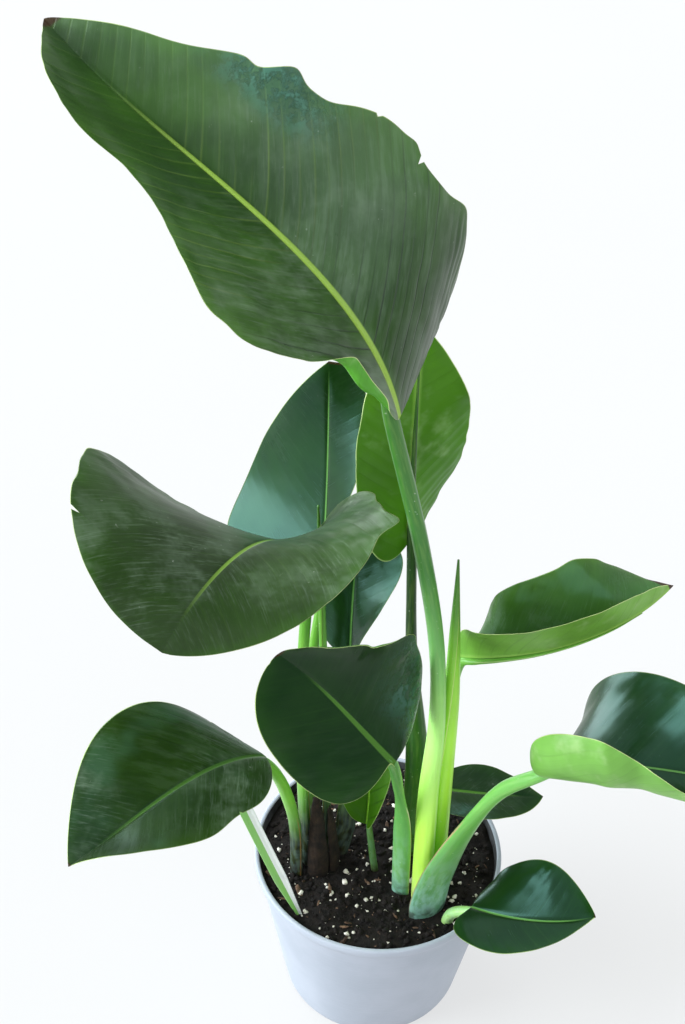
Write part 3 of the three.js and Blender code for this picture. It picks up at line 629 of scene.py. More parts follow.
class Board:
    """A node tree, and the words that finishes are written in."""

    def __init__(self, owner: bpy.types.Material | bpy.types.World) -> None:
        """Starts the owner with an empty tree."""
        self.owner = owner
        owner.use_nodes = True
        self.tree = owner.node_tree
        self.tree.nodes.clear()

    @classmethod
    def material(cls, name: str) -> "Board":
        """The board of a new material."""
        return cls(bpy.data.materials.new(name))

    def node(self, kind: str, settings: dict | None = None, values: dict | None = None) -> bpy.types.Node:
        """Adds a node.

        Args:
            kind: The node's type.
            settings: Its own settings, which are set first. stops holds a colour ramp's places and colours.
            values: Values or links of its input sockets, by name or by number.

        Returns:
            The node.
        """
        made = self.tree.nodes.new(kind)
        for key, value in (settings or {}).items():
            if key == "stops":
                ramp = made.color_ramp.elements
                while len(ramp) < len(value):
                    ramp.new(0.5)
                for element, (place, colour) in zip(ramp, value):
                    element.position = place
                    element.color = (*colour, 1)
            else:
                setattr(made, key, value)
        for key, value in (values or {}).items():
            socket = made.inputs[key]
            if isinstance(value, Wire):
                value = value.socket
            if isinstance(value, bpy.types.NodeSocket):
                self.tree.links.new(value, socket)
            elif isinstance(value, tuple) and socket.type == "RGBA" and len(value) == 3:
                socket.default_value = (*value, 1)
            else:
                socket.default_value = value
        return made

    def wire(self, kind: str, settings: dict | None = None, values: dict | None = None) -> Wire:
        """Adds a node and gives its first output as a number."""
        return Wire(self, self.node(kind, settings, values).outputs[0])

    def map(self, title: str) -> tuple[Wire, Wire]:
        """The two numbers of one of the piece's own UV maps."""
        place = self.node("ShaderNodeUVMap", {"uv_map": title}).outputs[0]
        parts = self.node("ShaderNodeSeparateXYZ", values={0: place})
        return Wire(self, parts.outputs[0]), Wire(self, parts.outputs[1])

    def place(self) -> bpy.types.NodeSocket:
        """Object coordinates, in metres."""
        return self.node("ShaderNodeTexCoord").outputs["Object"]

    def height(self) -> Wire:
        """The height above the ground, in metres."""
        return Wire(self, self.node("ShaderNodeSeparateXYZ", values={0: self.place()}).outputs[2])

    def vector(self, x: Wire | float, y: Wire | float, z: Wire | float = 0.0) -> bpy.types.NodeSocket:
        """Three numbers as one vector."""
        return self.node("ShaderNodeCombineXYZ", values={0: x, 1: y, 2: z}).outputs[0]

    def noise(
        self, where: bpy.types.NodeSocket, scale: float, detail: float = 3, grit: float = 0.55
    ) -> Wire:
        """Soft noise from about 0.2 to 0.8 round 0.5."""
        values = {"Vector": where, "Scale": scale, "Detail": detail, "Roughness": grit}
        return self.wire("ShaderNodeTexNoise", {"noise_dimensions": "3D"}, values)

    def mix(self, share: Wire | float, first: object, second: object) -> bpy.types.NodeSocket:
        """A colour between two colours."""
        values = {0: share, 6: first, 7: second}
        return self.node("ShaderNodeMix", {"data_type": "RGBA"}, values).outputs[2]

    def layered(self, colour: object, *layers: tuple[Wire | float, object]) -> bpy.types.NodeSocket:
        """A colour with others laid over it in turn, each by its own share."""
        for share, other in layers:
            colour = self.mix(share, colour, other)
        return colour

    def ramp(self, share: Wire, stops: Sequence[tuple[float, Colour]]) -> bpy.types.NodeSocket:
        """A colour read from stops along a number from 0 to 1."""
        return self.node("ShaderNodeValToRGB", {"stops": stops}, {0: share}).outputs[0]

    def bump(self, height: Wire, distance: float = MM) -> bpy.types.NodeSocket:
        """A normal from a height, where a height of one stands for distance in metres."""
        values = {"Height": height, "Distance": distance, "Strength": 1.0}
        return self.node("ShaderNodeBump", values=values).outputs[0]

    def finish(self, glow: tuple[Colour, float] | None = None, **inputs: object) -> bpy.types.Material:
        """Ends the tree in one surface.

        Args:
            glow: The colour and share of the light that a thin leaf lets through.
            **inputs: The surface's sockets, with underscores for spaces.

        Returns:
            The material.
        """
        values = {key.replace("_", " "): value for key, value in inputs.items()}
        surface = self.node("ShaderNodeBsdfPrincipled", values=values).outputs[0]
        if glow:
            colour, share = glow
            through = self.node("ShaderNodeBsdfTranslucent", values={"Color": colour}).outputs[0]
            surface = self.node("ShaderNodeMixShader", values={0: share, 1: surface, 2: through}).outputs[0]
        self.node("ShaderNodeOutputMaterial", values={"Surface": surface})
        return self.owner


# ------------------------------------------------------------------------------- finishes


@dataclass(frozen=True)
class Face:
    """What a blade's finish reads at each point of one of its faces.

    where is the place on the midrib that the point's vein leaves from, across the distance from the midrib
    and edge the distance from the margin, all in UV units. share is the share of the blade's length, vein a
    mask of the side veins and lines the fine lines between them.
    """

    board: Board
    place: bpy.types.NodeSocket
    where: Wire
    across: Wire
    edge: Wire
    share: Wire
    vein: Wire
    lines: Wire


@dataclass(frozen=True)
class BladeFinish:
    """The colours of a blade, its gloss, its veins and what lies on it. Widths are in millimetres.

    The teal flake sheen is painted: its side and run shares say where it begins and is full, across the
    right half and along the blade. through is the share of light that shines through in the colour glow.
    """

    name: str
    deep: Colour
    fresh: Colour
    under: Colour
    roughness: float = 0.2
    dust: float = 0.1
    # strength of the side veins: their bump, their pale colour towards the tip and painted furrow shade near
    # the base, and the painted grey sheen between them
    veins: float = 0.25
    rib: Colour = srgb(104, 142, 52)
    rib_width: tuple[float, float] = (1.2, 0.5)
    rib_end: float = 0.85
    # painted teal sheen, broken into flakes: its strength, then its side and run shares
    flake_sheen: float = 0.0
    flake_sheen_side: tuple[float, float] = (-0.3, -0.55)
    flake_sheen_run: tuple[float, float] = (0.42, 0.58)
    # painted grey sheen on the right half, and painted shade in the throat near the base
    grey: float = 0.0
    # painted bluish-teal sheen in soft patches
    teal_sheen: float = 0.0
    sheen: float = 0.3
    sheen_tint: Colour = DULL
    glow: Colour = srgb(110, 190, 20)
    through: float = 0.08
    edge: Colour = srgb(168, 190, 116)
    dry: Colour = srgb(58, 40, 24)
    dry_tip: float = 0.985

    def read(self, title: str) -> Face:
        """Starts the material of a face and reads its maps and its veins, whose strength comes and goes."""
        board = Board.material(f"blade_{title}_{self.name}")
        where, across = board.map("veins")
        edge, share = board.map("edges")
        strong = board.noise(board.vector(where, across * 0.4), 3.4, 2).step(0.36, 0.62)
        thin = board.noise(board.vector(where, across * 0.15), 9, 1).step(0.3, 0.7) * 0.6 + 0.4
        spaced = (where * (UV_UNIT / VEIN_SPACING)).share()
        vein = (spaced - 0.5).size().step(0.11, 0.0) * strong * thin
        lines = board.noise(board.vector(where, across * 0.04), 95, 2, 0.6)
        return Face(board, board.place(), where, across, edge, share, vein, lines)

    def grown(self, face: Face, broad: Wire, cloud: Wire) -> bpy.types.NodeSocket:
        """The living green: fresher towards the margin, darker in clouds, with fine lines and side veins.

        Towards the base the side veins are painted dark as furrows in shade, with a painted grey sheen
        between them; towards the tip they are pale.

        Args:
            face: The upper face.
            broad: Noise a few centimetres across.
            cloud: Noise a centimetre across.

        Returns:
            The colour.
        """
        board = face.board
        side = face.across.size()
        tint = broad.step(0.34, 0.68) * 0.5 + side.step(0.12, 0.75) * 0.25 + face.edge.step(0.1, 0.0) * 0.35
        low = face.share.step(0.75, 0.3)
        # painted shade: towards the base the veins darken as furrows in shade, towards the tip they take the
        # pale rib colour
        furrow = board.mix(low, self.rib, dimmed(self.deep, 0.25))
        # painted grey sheen in bands between the side veins towards the base, laid on in step with the dust
        stretched = board.vector(face.where, face.across * 0.35, 0.7)
        between = board.noise(stretched, 13, 3, 0.65).step(0.45, 0.66)
        return board.layered(
            self.deep,
            (tint, self.fresh),
            (cloud.step(0.42, 0.66) * 0.36, dimmed(self.deep, 0.55)),
            (face.lines.step(0.46, 0.7) * 0.16, self.fresh),
            (between * low * (self.veins * self.dust * 0.45), srgb(126, 150, 122)),
            (face.vein * (low * 0.9 + 0.1) * self.veins, furrow),
        )

    def dust_sheen_and_shade(
        self, face: Face, green: bpy.types.NodeSocket, broad: Wire
    ) -> tuple[bpy.types.NodeSocket, Wire]:
        """Painted sheen and shade, with dust in scuffs and streaks and pale specks.

        Args:
            face: The upper face.
            green: The colour under them.
            broad: Noise a few centimetres across.

        Returns:
            The colour, and how much dust lies on it.
        """
        board, place = face.board, face.place
        scuffed = board.noise(place, 30, 4, 0.7).step(0.46, 0.7)
        streaky = board.noise(board.vector(face.where, face.across * 0.12), 60, 3, 0.7).step(0.5, 0.72)
        worn = board.noise(place, 8, 2).step(0.4, 0.62)
        dust = (scuffed * 0.6 + streaky * 0.5) * worn
        specks = board.noise(place, 420, 1).step(0.73, 0.8) * worn * scuffed
        # painted grey sheen on the right half, away from the base
        right = face.across.step(0.1, -0.35) * face.share.step(0.08, 0.35)
        # painted shade in the throat, beside the midrib near the base
        throat = face.across.step(0.0, -0.12) * face.share.step(0.3, 0.1)
        # painted bluish-teal sheen in soft patches, clear of the margin
        teal_sheen_patches = board.noise(place, 17, 3).step(0.44, 0.62) * face.edge.step(0.0, 0.04)
        green = board.layered(
            green,
            (right * (broad * 0.5 + 0.5) * self.grey, srgb(100, 124, 98)),
            (throat * (self.grey * 1.8), dimmed(self.deep, 0.4)),
            (teal_sheen_patches * self.teal_sheen, srgb(84, 124, 100)),
            (dust * self.dust, srgb(124, 142, 122)),
            (specks * (self.dust * 1.2), srgb(206, 214, 200)),
        )
        return green, dust

    def painted_flake_sheen(self, face: Face, green: bpy.types.NodeSocket) -> tuple[bpy.types.NodeSocket, Wire]:
        """A painted teal sheen, broken into flakes.

        Args:
            face: The upper face.
            green: The colour under it.

        Returns:
            The colour, and the flakes' height.
        """
        board = face.board
        reach = face.across.step(*self.flake_sheen_side) * face.share.step(*self.flake_sheen_run)
        patches = board.noise(face.place, 12, 2).step(0.42, 0.52) * 0.75 + 0.25
        flakes = board.noise(face.place, 105, 8, 0.8).step(0.44, 0.55) * reach * patches
        green = board.layered(
            green,
            (reach * patches * (self.flake_sheen * 0.45), srgb(52, 98, 88)),
            (flakes * (self.flake_sheen * 0.6), srgb(78, 130, 118)),
        )
        return green, flakes

    def trimmed(self, face: Face, green: bpy.types.NodeSocket) -> tuple[bpy.types.NodeSocket, Wire]:
        """A soft midrib that narrows to its end, a thin pale margin and a dry tip.

        Args:
            face: The upper face.
            green: The colour under them.

        Returns:
            The colour, and a mask of the midrib.
        """
        board, share = face.board, face.share
        base, tip = (width / UV_UNIT for width in self.rib_width)
        ridge = face.across.size() / (base - share * ((base - tip) / self.rib_end))
        rib = ridge.step(1.15, 0.7) * share.step(self.rib_end, self.rib_end - 0.3)
        thread = board.noise(face.place, 24, 2).step(0.36, 0.6) * 0.6 + 0.4
        green = board.layered(
            green,
            (rib * 0.95, self.rib),
            (face.edge.step(0.0055, 0.001) * thread, self.edge),
            (share.step(self.dry_tip, self.dry_tip + DRY_EDGE), self.dry),
        )
        return green, rib

    def upper(self) -> bpy.types.Material:
        """The glossy upper face."""
        face = self.read("upper")
        board = face.board
        broad = board.noise(face.place, 11, 3)
        cloud = board.noise(face.place, 38, 4, 0.62)
        green, dust = self.dust_sheen_and_shade(face, self.grown(face, broad, cloud), broad)
        green, flakes = self.painted_flake_sheen(face, green)
        green, rib = self.trimmed(face, green)
        height = face.vein * (-0.14 * self.veins) + face.lines * 0.015 + rib * -0.1
        height = height + broad * 1.2 + cloud * 0.14 + flakes * (0.45 * self.flake_sheen)
        roughness = dust * (0.5 * self.dust) + cloud * 0.12 + face.lines * 0.05 + (self.roughness - 0.08)
        return board.finish(
            glow=(self.glow, self.through),
            Base_Color=green,
            Roughness=roughness,
            Normal=board.bump(height),
            Specular_IOR_Level=self.sheen,
            Specular_Tint=(*self.sheen_tint, 1),
        )

    def lower(self) -> bpy.types.Material:
        """The paler under face, with raised veins and a waxy bloom."""
        face = self.read("lower")
        board, share, lines = face.board, face.share, face.lines
        patch = board.noise(face.place, 22, 3)
        bloom = board.noise(face.place, 60, 3)
        dim = dimmed(self.under, 0.66)
        green = board.layered(
            self.under,
            (patch.step(0.35, 0.7), dim),
            (lines.step(0.46, 0.7) * 0.25, dim),
            (face.vein * 0.35, dimmed(self.under, 0.45)),
            (bloom.step(0.55, 0.78) * 0.3, srgb(190, 214, 160)),
            (face.across.size().step(0.03, 0.008) * 0.45, srgb(160, 200, 96)),
            (face.edge.step(0.0065, 0.001), srgb(206, 222, 150)),
            (share.step(self.dry_tip, self.dry_tip + DRY_EDGE), self.dry),
        )
        height = face.vein * 0.08 + lines * 0.03 + patch * 0.9 + bloom * 0.2
        return board.finish(
            glow=(self.glow, self.through),
            Base_Color=green,
            Roughness=lines * 0.08 + 0.36,
            Normal=board.bump(height),
            Specular_IOR_Level=0.3,
        )


@dataclass(frozen=True)
class StalkFinish:
    """A stalk's colours at heights in metres, with pale or brown sheath margins."""

    name: str
    stops: tuple[tuple[float, Colour], ...]
    margin: Colour
    bloom: float
    roughness: float = 0.34
    shade: Colour = srgb(52, 100, 40)

    def build(self) -> bpy.types.Material:
        """Colour by height, fine fibres along the stalk, a margin line and a waxy bloom near the foot."""
        board = Board.material("stalk_" + self.name)
        place = board.place()
        length, turn = board.map("fibres")
        margin, _ = board.map("margin")
        height = board.height()
        colours = board.ramp(height / STALK_TOP, [(z / STALK_TOP, colour) for z, colour in self.stops])
        fibre = board.noise(board.vector(length * 0.1, turn), 60, 2)
        mottle = board.noise(place, 40, 3)
        low = height.step(0.2, 0.125)
        waxy = board.noise(board.vector(length * 0.5, turn), 22, 3).step(0.36, 0.6) * low
        speck = board.noise(place, 480, 1).step(0.72, 0.78)
        soiled = board.noise(place, 130, 3).step(0.42, 0.62) * height.step(0.132, 0.118)
        green = board.layered(
            colours,
            (fibre.step(0.42, 0.7) * 0.06, srgb(214, 240, 130)),
            (mottle.step(0.46, 0.72) * 0.07, self.shade),
            (waxy * self.bloom, srgb(170, 208, 206)),
            (margin.step(0.35, 0.95), self.margin),
            (speck * 0.3, srgb(214, 226, 206)),
            (soiled * 0.75, srgb(44, 34, 24)),
        )
        return board.finish(
            Base_Color=green,
            Roughness=waxy * (0.3 * self.bloom) + fibre * 0.08 + (self.roughness - 0.05),
            Normal=board.bump(fibre * 0.1 + mottle * 0.4),
            Specular_IOR_Level=0.4,
            Specular_Tint=(*DULL, 1),
        )


@dataclass(frozen=True)
class GrainFinish:
    """A rough mineral or woody finish: two colours, its grain size and its bump."""

    name: str
    dark: Colour
    light: Colour
    scale: float
    bump: float
    roughness: float

    def build(self) -> bpy.types.Material:
        """Two colours mixed by noise at two scales, with a bump from the same noise."""
        board = Board.material(self.name)
        coarse = board.noise(board.place(), self.scale, 4, 0.65)
        fine = board.noise(board.place(), self.scale * 5, 3, 0.6)
        colour = board.mix(coarse.step(0.35, 0.7) * 0.7 + fine.step(0.4, 0.7) * 0.3, self.dark, self.light)
        return board.finish(
            Base_Color=colour,
            Roughness=fine * 0.15 + (self.roughness - 0.08),
            Normal=board.bump(coarse + fine * 0.5, self.bump),
            Specular_IOR_Level=0.3,
        )


def pot_plastic() -> bpy.types.Material:
    """Thin grey moulded plastic: faint turning lines, cloudy scuffs and a few darker nicks."""
    board = Board.material("pot_plastic")
    where = board.place()
    cloud = board.noise(where, 16, 4, 0.6)
    rings = board.noise(board.vector(0.0, 0.0, board.height()), 900, 2)
    nick = board.noise(where, 75, 2).step(0.7, 0.76) * board.noise(where, 21, 2).step(0.55, 0.6)
    grey = board.layered(
        srgb(156, 163, 175),
        (cloud.step(0.35, 0.7), srgb(168, 174, 186)),
        (rings.step(0.45, 0.7) * 0.12, srgb(206, 213, 222)),
        (nick * 0.7, srgb(132, 134, 138)),
    )
    return board.finish(
        Base_Color=grey,
        Roughness=cloud * 0.15 + 0.42,
        Normal=board.bump(rings * 0.05 + cloud * 0.6),
        Specular_IOR_Level=0.4,
    )


def stake_plastic(name: str, colour: Colour) -> bpy.types.Material:
    """A thin glossy strip, lightly smeared with mix towards its foot."""
    board = Board.material(name)
    smear = board.noise(board.place(), 60, 3).step(0.5, 0.7) * board.height().step(0.17, 0.12)
    base = board.mix(smear * 0.6, colour, srgb(120, 128, 132))
    return board.finish(Base_Color=base, Roughness=smear * 0.3 + 0.28, Specular_IOR_Level=0.5)


BLADE_FINISHES = {
    Tone.DUSTY: BladeFinish(
        "dusty", srgb(34, 62, 24), srgb(64, 106, 28), srgb(84, 158, 44), 0.3, 0.42, 1.0,
        srgb(150, 184, 76), (2.9, 0.7), 0.86, 0.9, (-0.3, -0.5), (0.45, 0.6), 0.3, 0.0, 0.3, DULL,
        srgb(120, 200, 20), 0.05, dry_tip=0.978,
    ),
    Tone.AGED: BladeFinish(
        "aged", srgb(36, 52, 26), srgb(48, 82, 22), srgb(92, 160, 56), 0.34, 0.5, 0.35,
        srgb(112, 146, 56), (1.6, 0.8), 0.93,
        sheen=0.16, through=0.06, edge=srgb(176, 190, 132), dry_tip=1.1,
    ),
    Tone.CLOUDY: BladeFinish(
        "cloudy", srgb(24, 40, 14), srgb(42, 66, 18), srgb(98, 160, 66), 0.28, 0.5, 0.35,
        srgb(62, 96, 38), (1.7, 0.9), 0.9, teal_sheen=0.24, sheen=0.2, sheen_tint=WAXY,
    ),
    Tone.PLAIN: BladeFinish(
        "plain", srgb(52, 90, 28), srgb(80, 122, 42), srgb(120, 176, 66), 0.24, 0.2, 0.4,
        srgb(90, 130, 46), (1.0, 0.5), 1.0, teal_sheen=0.1, sheen=0.4, sheen_tint=WAXY, dry_tip=0.97,
    ),
    Tone.DARK: BladeFinish(
        "dark", srgb(16, 38, 10), srgb(36, 68, 18), srgb(98, 160, 66), 0.24, 0.14, 0.3,
        srgb(76, 120, 42), (2.0, 0.7), 0.84, 0.45, (-0.1, -0.3), (0.6, 0.3), teal_sheen=0.0, sheen=0.12,
        sheen_tint=WAXY,
    ),
    Tone.GLOSSY: BladeFinish(
        "glossy", srgb(12, 36, 6), srgb(28, 62, 14), srgb(124, 184, 80), 0.25, 0.06, 0.2,
        srgb(84, 130, 56), (1.0, 0.4), 1.0, teal_sheen=0.02, sheen=0.44, sheen_tint=WAXY,
    ),
    Tone.FRESH: BladeFinish(
        "fresh", srgb(30, 62, 4), srgb(62, 106, 6), srgb(72, 122, 16), 0.34, 0.06, 1.2,
        srgb(104, 150, 40), (0.9, 0.4), 1.0, sheen=0.08, glow=srgb(150, 215, 10), through=0.24,
    ),
}
STALK_FINISHES = {
    "main": StalkFinish(
        "main",
        ((0.11, srgb(200, 218, 110)), (0.15, srgb(184, 228, 80)), (0.2, srgb(178, 232, 84)),
         (0.27, srgb(176, 236, 122)), (0.34, srgb(112, 176, 92)), (0.41, srgb(62, 118, 50)),
         (0.5, srgb(58, 110, 40))),
        srgb(186, 196, 120), 0.1,
    ),
    "shoot": StalkFinish(
        "shoot",
        ((0.11, srgb(200, 218, 110)), (0.17, srgb(176, 230, 64)), (0.27, srgb(172, 234, 74)),
         (0.33, srgb(140, 204, 66)), (0.365, srgb(84, 142, 50)), (0.41, srgb(48, 92, 34))),
        srgb(206, 222, 140), 0.05,
    ),
    # near-black at the foot: partly the dry brown of old sheaths, partly painted shade low in the clump
    "side": StalkFinish(
        "side",
        ((0.11, srgb(22, 20, 14)), (0.152, srgb(30, 34, 20)), (0.174, srgb(84, 132, 50)),
         (0.2, srgb(112, 178, 56)), (0.4, srgb(56, 104, 34))),
        srgb(140, 104, 58), 0.1,
    ),
    "front": StalkFinish(
        "front",
        ((0.11, srgb(110, 166, 150)), (0.14, srgb(110, 170, 96)), (0.2, srgb(96, 166, 80)),
         (0.3, srgb(64, 120, 44))),
        srgb(212, 200, 176), 0.28,
    ),
    "wide": StalkFinish(
        "wide",
        ((0.11, srgb(112, 158, 148)), (0.15, srgb(84, 146, 78)), (0.22, srgb(104, 172, 76)),
         (0.3, srgb(120, 186, 92))),
        srgb(178, 136, 108), 0.34,
    ),
    "dark": StalkFinish(
        "dark",
        ((0.11, srgb(80, 122, 52)), (0.2, srgb(52, 98, 34)), (0.3, srgb(26, 52, 20)),
         (0.5, srgb(44, 84, 22))),
        srgb(150, 164, 96), 0.1,
    ),
    "light": StalkFinish(
        "light",
        ((0.11, srgb(110, 160, 70)), (0.24, srgb(110, 176, 72)), (0.34, srgb(110, 172, 66))),
        srgb(190, 206, 140), 0.1,
    ),
    "pale": StalkFinish(
        "pale",
        ((0.11, srgb(170, 210, 126)), (0.16, srgb(128, 192, 92)), (0.3, srgb(108, 176, 70))),
        srgb(210, 226, 160), 0.2,
    ),
}


# ------------------------------------------------------------------------------- leaves


@dataclass
class Blade:
    """The thin flat part of a leaf, as one closed skin with an upper and a lower face.

    The side veins leave the midrib at vein_angle degrees and bend towards the tip by vein_bend. thin_edge is
    the margin's thickness against the blade's.
    """

    leaf: Leaf
    thickness: float = 0.5
    thin_edge: float = 0.45
    vein_angle: float = 56
    vein_bend: float = 0.0035
    groove_depth: float = 0.5
    groove_width: float = 1.7
    end_width: float = 1.3

    def spine(self, u: np.ndarray) -> tuple[np.ndarray, ...]:
        """The midrib's points and frames.

        The direction t follows heading and lift, the upper face's normal n and the leaf's left s turn about
        it by roll, and the point is the running sum of t over the length.

        Args:
            u: Shares of the blade's length.

        Returns:
            Points, t, n and s, each of shape (len(u), 3).
        """
        steps = np.linspace(0, 1, MIDRIB_STEPS)
        a, e, r = (np.radians(along(k, steps)) for k in (self.leaf.heading, self.leaf.lift, self.leaf.roll))
        t = np.stack([np.cos(e) * np.cos(a), np.cos(e) * np.sin(a), np.sin(e)], -1)
        n = np.stack([-np.sin(e) * np.cos(a), -np.sin(e) * np.sin(a), np.cos(e)], -1)
        n, s = turned(n, np.cross(n, t), r[:, None])
        path = running_sum(t.T, steps).T * self.leaf.length + np.array(self.leaf.collar)

        def read(table: np.ndarray) -> np.ndarray:
            """The table's rows at each u."""
            return np.stack([np.interp(u, steps, column) for column in table.T], -1)

        return read(path), unit(read(t)), unit(read(n)), unit(read(s))

    def half_width(self, half: Half, side: int, u: np.ndarray) -> np.ndarray:
        """A half's width: u^full (1-u)^point against its peak, scalloped, notched by tears and swollen."""
        widest = half.full / (half.full + half.point)
        peak = widest**half.full * (1 - widest) ** half.point
        share, waves, phase = half.ripple
        scallop = 1 + share * np.sin(2 * np.pi * (waves * u + phase))
        width = half.width * scallop * u**half.full * (1 - u) ** half.point / peak
        for tear in self.leaf.tears:
            if tear.side == side:
                width = width * (1 - tear.depth * np.clip(1 - np.abs(u - tear.place) / tear.spread, 0, 1))
        for swell in self.leaf.swells:
            if swell.side == side:
                width = width * (1 + swell.height * np.exp(-(((u - swell.place) / swell.spread) ** 2)))
        end = self.end_width * (1 - 0.75 * smooth(0.9, 1, u))
        return np.hypot(width, end)

    def half(self, side: int, u: np.ndarray, q: np.ndarray) -> tuple[np.ndarray, ...]:
        """One half of the middle surface.

        The angle out of the flat is fold + curl q, plus each roll's turn past its inner line. Its cosine
        and sine are summed over q and scaled by the width, and the point is moved along the midrib by the
        sweep and the lobe, which grow as q^1.5.

        Args:
            side: LEFT or RIGHT.
            u: Shares of the length.
            q: Shares of the half's width, from 0 at the midrib to 1 at the margin.

        Returns:
            Points of shape (u, q, 3), then the place along the blade, the distance across and the distance
            to the margin, in millimetres.
        """
        leaf = self.leaf
        half = leaf.left if side == LEFT else leaf.right
        point, t, n, s = self.spine(u)
        width = self.half_width(half, side, u)[:, None]
        angle = np.radians(along(half.fold, u))[:, None] + np.radians(along(half.curl, u))[:, None] * q
        for roll in leaf.rolls:
            if roll.side == side:
                blend = (roll.end - roll.start) / 3
                run = smooth(roll.start, roll.start + blend, u) * smooth(roll.end, roll.end - blend, u)
                angle = angle + math.radians(roll.turn) * run[:, None] * smooth(roll.inner, 1.02, q)
        across = running_sum(np.cos(angle), q) * width
        rise = running_sum(np.sin(angle), q) * width
        late = (1 - u[:, None]) ** 3
        shift = (leaf.sweep * (1 - late) - half.lobe * late) * width * q**1.5
        points = (
            point[:, None]
            + side * across[..., None] * s[:, None]
            + rise[..., None] * n[:, None]
            + shift[..., None] * t[:, None]
        )
        return points, leaf.length * u[:, None] + shift, side * q * width, (1 - q) * width

    def sheet(self, u: np.ndarray, q: np.ndarray) -> tuple[np.ndarray, ...]:
        """Both halves joined at the midrib, from the right margin to the left one, as half() gives them."""
        parts = [self.half(side, u, q) for side in (RIGHT, LEFT)]
        return tuple(np.concatenate([r[:, ::-1], l[:, 1:]], axis=1) for r, l in zip(*parts))

    def skin(self) -> Skin:
        """The closed blade.

        Rows lie closer together at the base and the tip, and columns at the midrib and the margins. Both
        faces share their outline, and between it they stand half a thickness off the middle surface, with a
        groove over the midrib and a low ridge or furrow at each side vein.

        Returns:
            The skin, with UV maps veins and edges, and the lower face in the second material.
        """
        leaf = self.leaf
        rows, columns = leaf.grid
        u = crowded(rows, 0.4)
        middle, place, across, margin = self.sheet(u, crowded(columns, 0.55))
        normal = unit(np.cross(np.gradient(middle, axis=0), np.gradient(middle, axis=1)))
        side = np.abs(across)
        start = place - side / math.tan(math.radians(self.vein_angle)) - self.vein_bend * side**2
        share = side / (side + margin)
        seed = sum(map(ord, leaf.name))
        start = start + 2.0 * rough(start + seed, across * 0.4, 36, seed + 5, 2)
        drift = leaf.wave * share**1.3 * (
            np.sin(place / 11 + seed) * 0.3 + rough(place + seed, across, 30, seed, 3) * 2.0
        )
        uneven = 0.25 + 0.75 * smooth(-0.3, 0.6, rough(start, across, 38, seed + 9, 2))
        middle = middle + normal * (drift * smooth(0, 12, margin + side) * smooth(0, 10, place))[..., None]
        inner = np.zeros(middle.shape[:2])
        inner[1:-1, 1:-1] = 1
        vein = np.cos(2 * np.pi * start / VEIN_SPACING) * leaf.ribbed * uneven * smooth(3, 10, side)
        fade = smooth(0, 5, margin) * smooth(0, 8, place) * smooth(1, 0.93, u)[:, None]
        groove = self.groove_depth * np.exp(-((side / self.groove_width) ** 2)) * smooth(1, 0.8, u)[:, None]
        half = self.thickness / 2 * (self.thin_edge + (1 - self.thin_edge) * smooth(0, 6, margin))
        top = middle + normal * (inner * (half + fade * vein - groove * inner))[..., None]
        bottom = middle - normal * (inner * (half - fade * vein + groove))[..., None]
        points = np.vstack([top.reshape(-1, 3), bottom[1:-1, 1:-1].reshape(-1, 3)])

        def both(first: np.ndarray, second: np.ndarray) -> np.ndarray:
            """A UV map for the points of both faces."""
            grid = np.stack([first, second], -1)
            return np.vstack([grid.reshape(-1, 2), grid[1:-1, 1:-1].reshape(-1, 2)])

        maps = {
            "veins": both(start / UV_UNIT, across / UV_UNIT),
            "edges": both(margin / UV_UNIT, np.broadcast_to(u[:, None], margin.shape)),
        }
        return Skin(points, paired_faces(*side.shape), maps, [0, 1])


@dataclass
class Stalk:
    """A leaf's sheathing stalk, which runs on under the blade as its keel."""

    leaf: Leaf
    sides: int = 40
    spans: int = 110
    keel_spans: int = 54

    def skin(self) -> Skin:
        """The closed stalk.

        Its path is a smooth curve from the foot in the mix through the via points and along under the
        midrib. Its section is an ellipse whose side towards the hollow is flattened by clasp, or turned in
        where clasp is over one, and low ribs run along it.

        Returns:
            The skin, with UV maps fibres and margin.
        """
        leaf = self.leaf
        wide, deep = leaf.girth[-1]

        def taper(u: np.ndarray) -> np.ndarray:
            """The keel's size against its size at the collar."""
            return 1 + (KEEL_TAPER - 1) * u / KEEL[-1]

        def hollow(u: np.ndarray) -> np.ndarray:
            """How far the keel's upper side is drawn in, so that it lies flat against the blade."""
            return KEEL_HOLLOW * smooth(-0.02, 0.14, u)

        keel = np.array(KEEL)
        blade = Blade(leaf)
        point, _, n, _ = blade.spine(keel)
        under = point - n * (BLADE_THICKNESS / 2 + FIT + deep * taper(keel) * (1 - hollow(keel)))[:, None]
        path = [(*leaf.foot, POT.soil - POT.stem_depth), *leaf.via, *under]
        before = len(leaf.via) + 1
        last = len(path) - 1
        s = np.linspace(0, 1, self.spans, endpoint=False)
        k = np.linspace(0, len(KEEL) - 1, self.keel_spans)
        u = np.interp(k, range(len(KEEL)), keel)
        t = np.concatenate([s * before, before + k]) / last
        size = np.vstack([evenly(leaf.girth, s), np.outer(taper(u), (wide, deep))])
        face = math.radians(leaf.face)
        looks = np.array([math.cos(face), math.sin(face), 0])
        collar = blade.spine(np.zeros(1))[2]
        share = (s**2)[:, None]
        ref = np.vstack([looks * (1 - share) + collar * share, blade.spine(u)[2]])
        clasp = np.concatenate([leaf.clasp * np.clip(1.6 - 2 * s, 0, 1), hollow(u)])
        return swept(path, t, ref, size, clasp, self.sides)


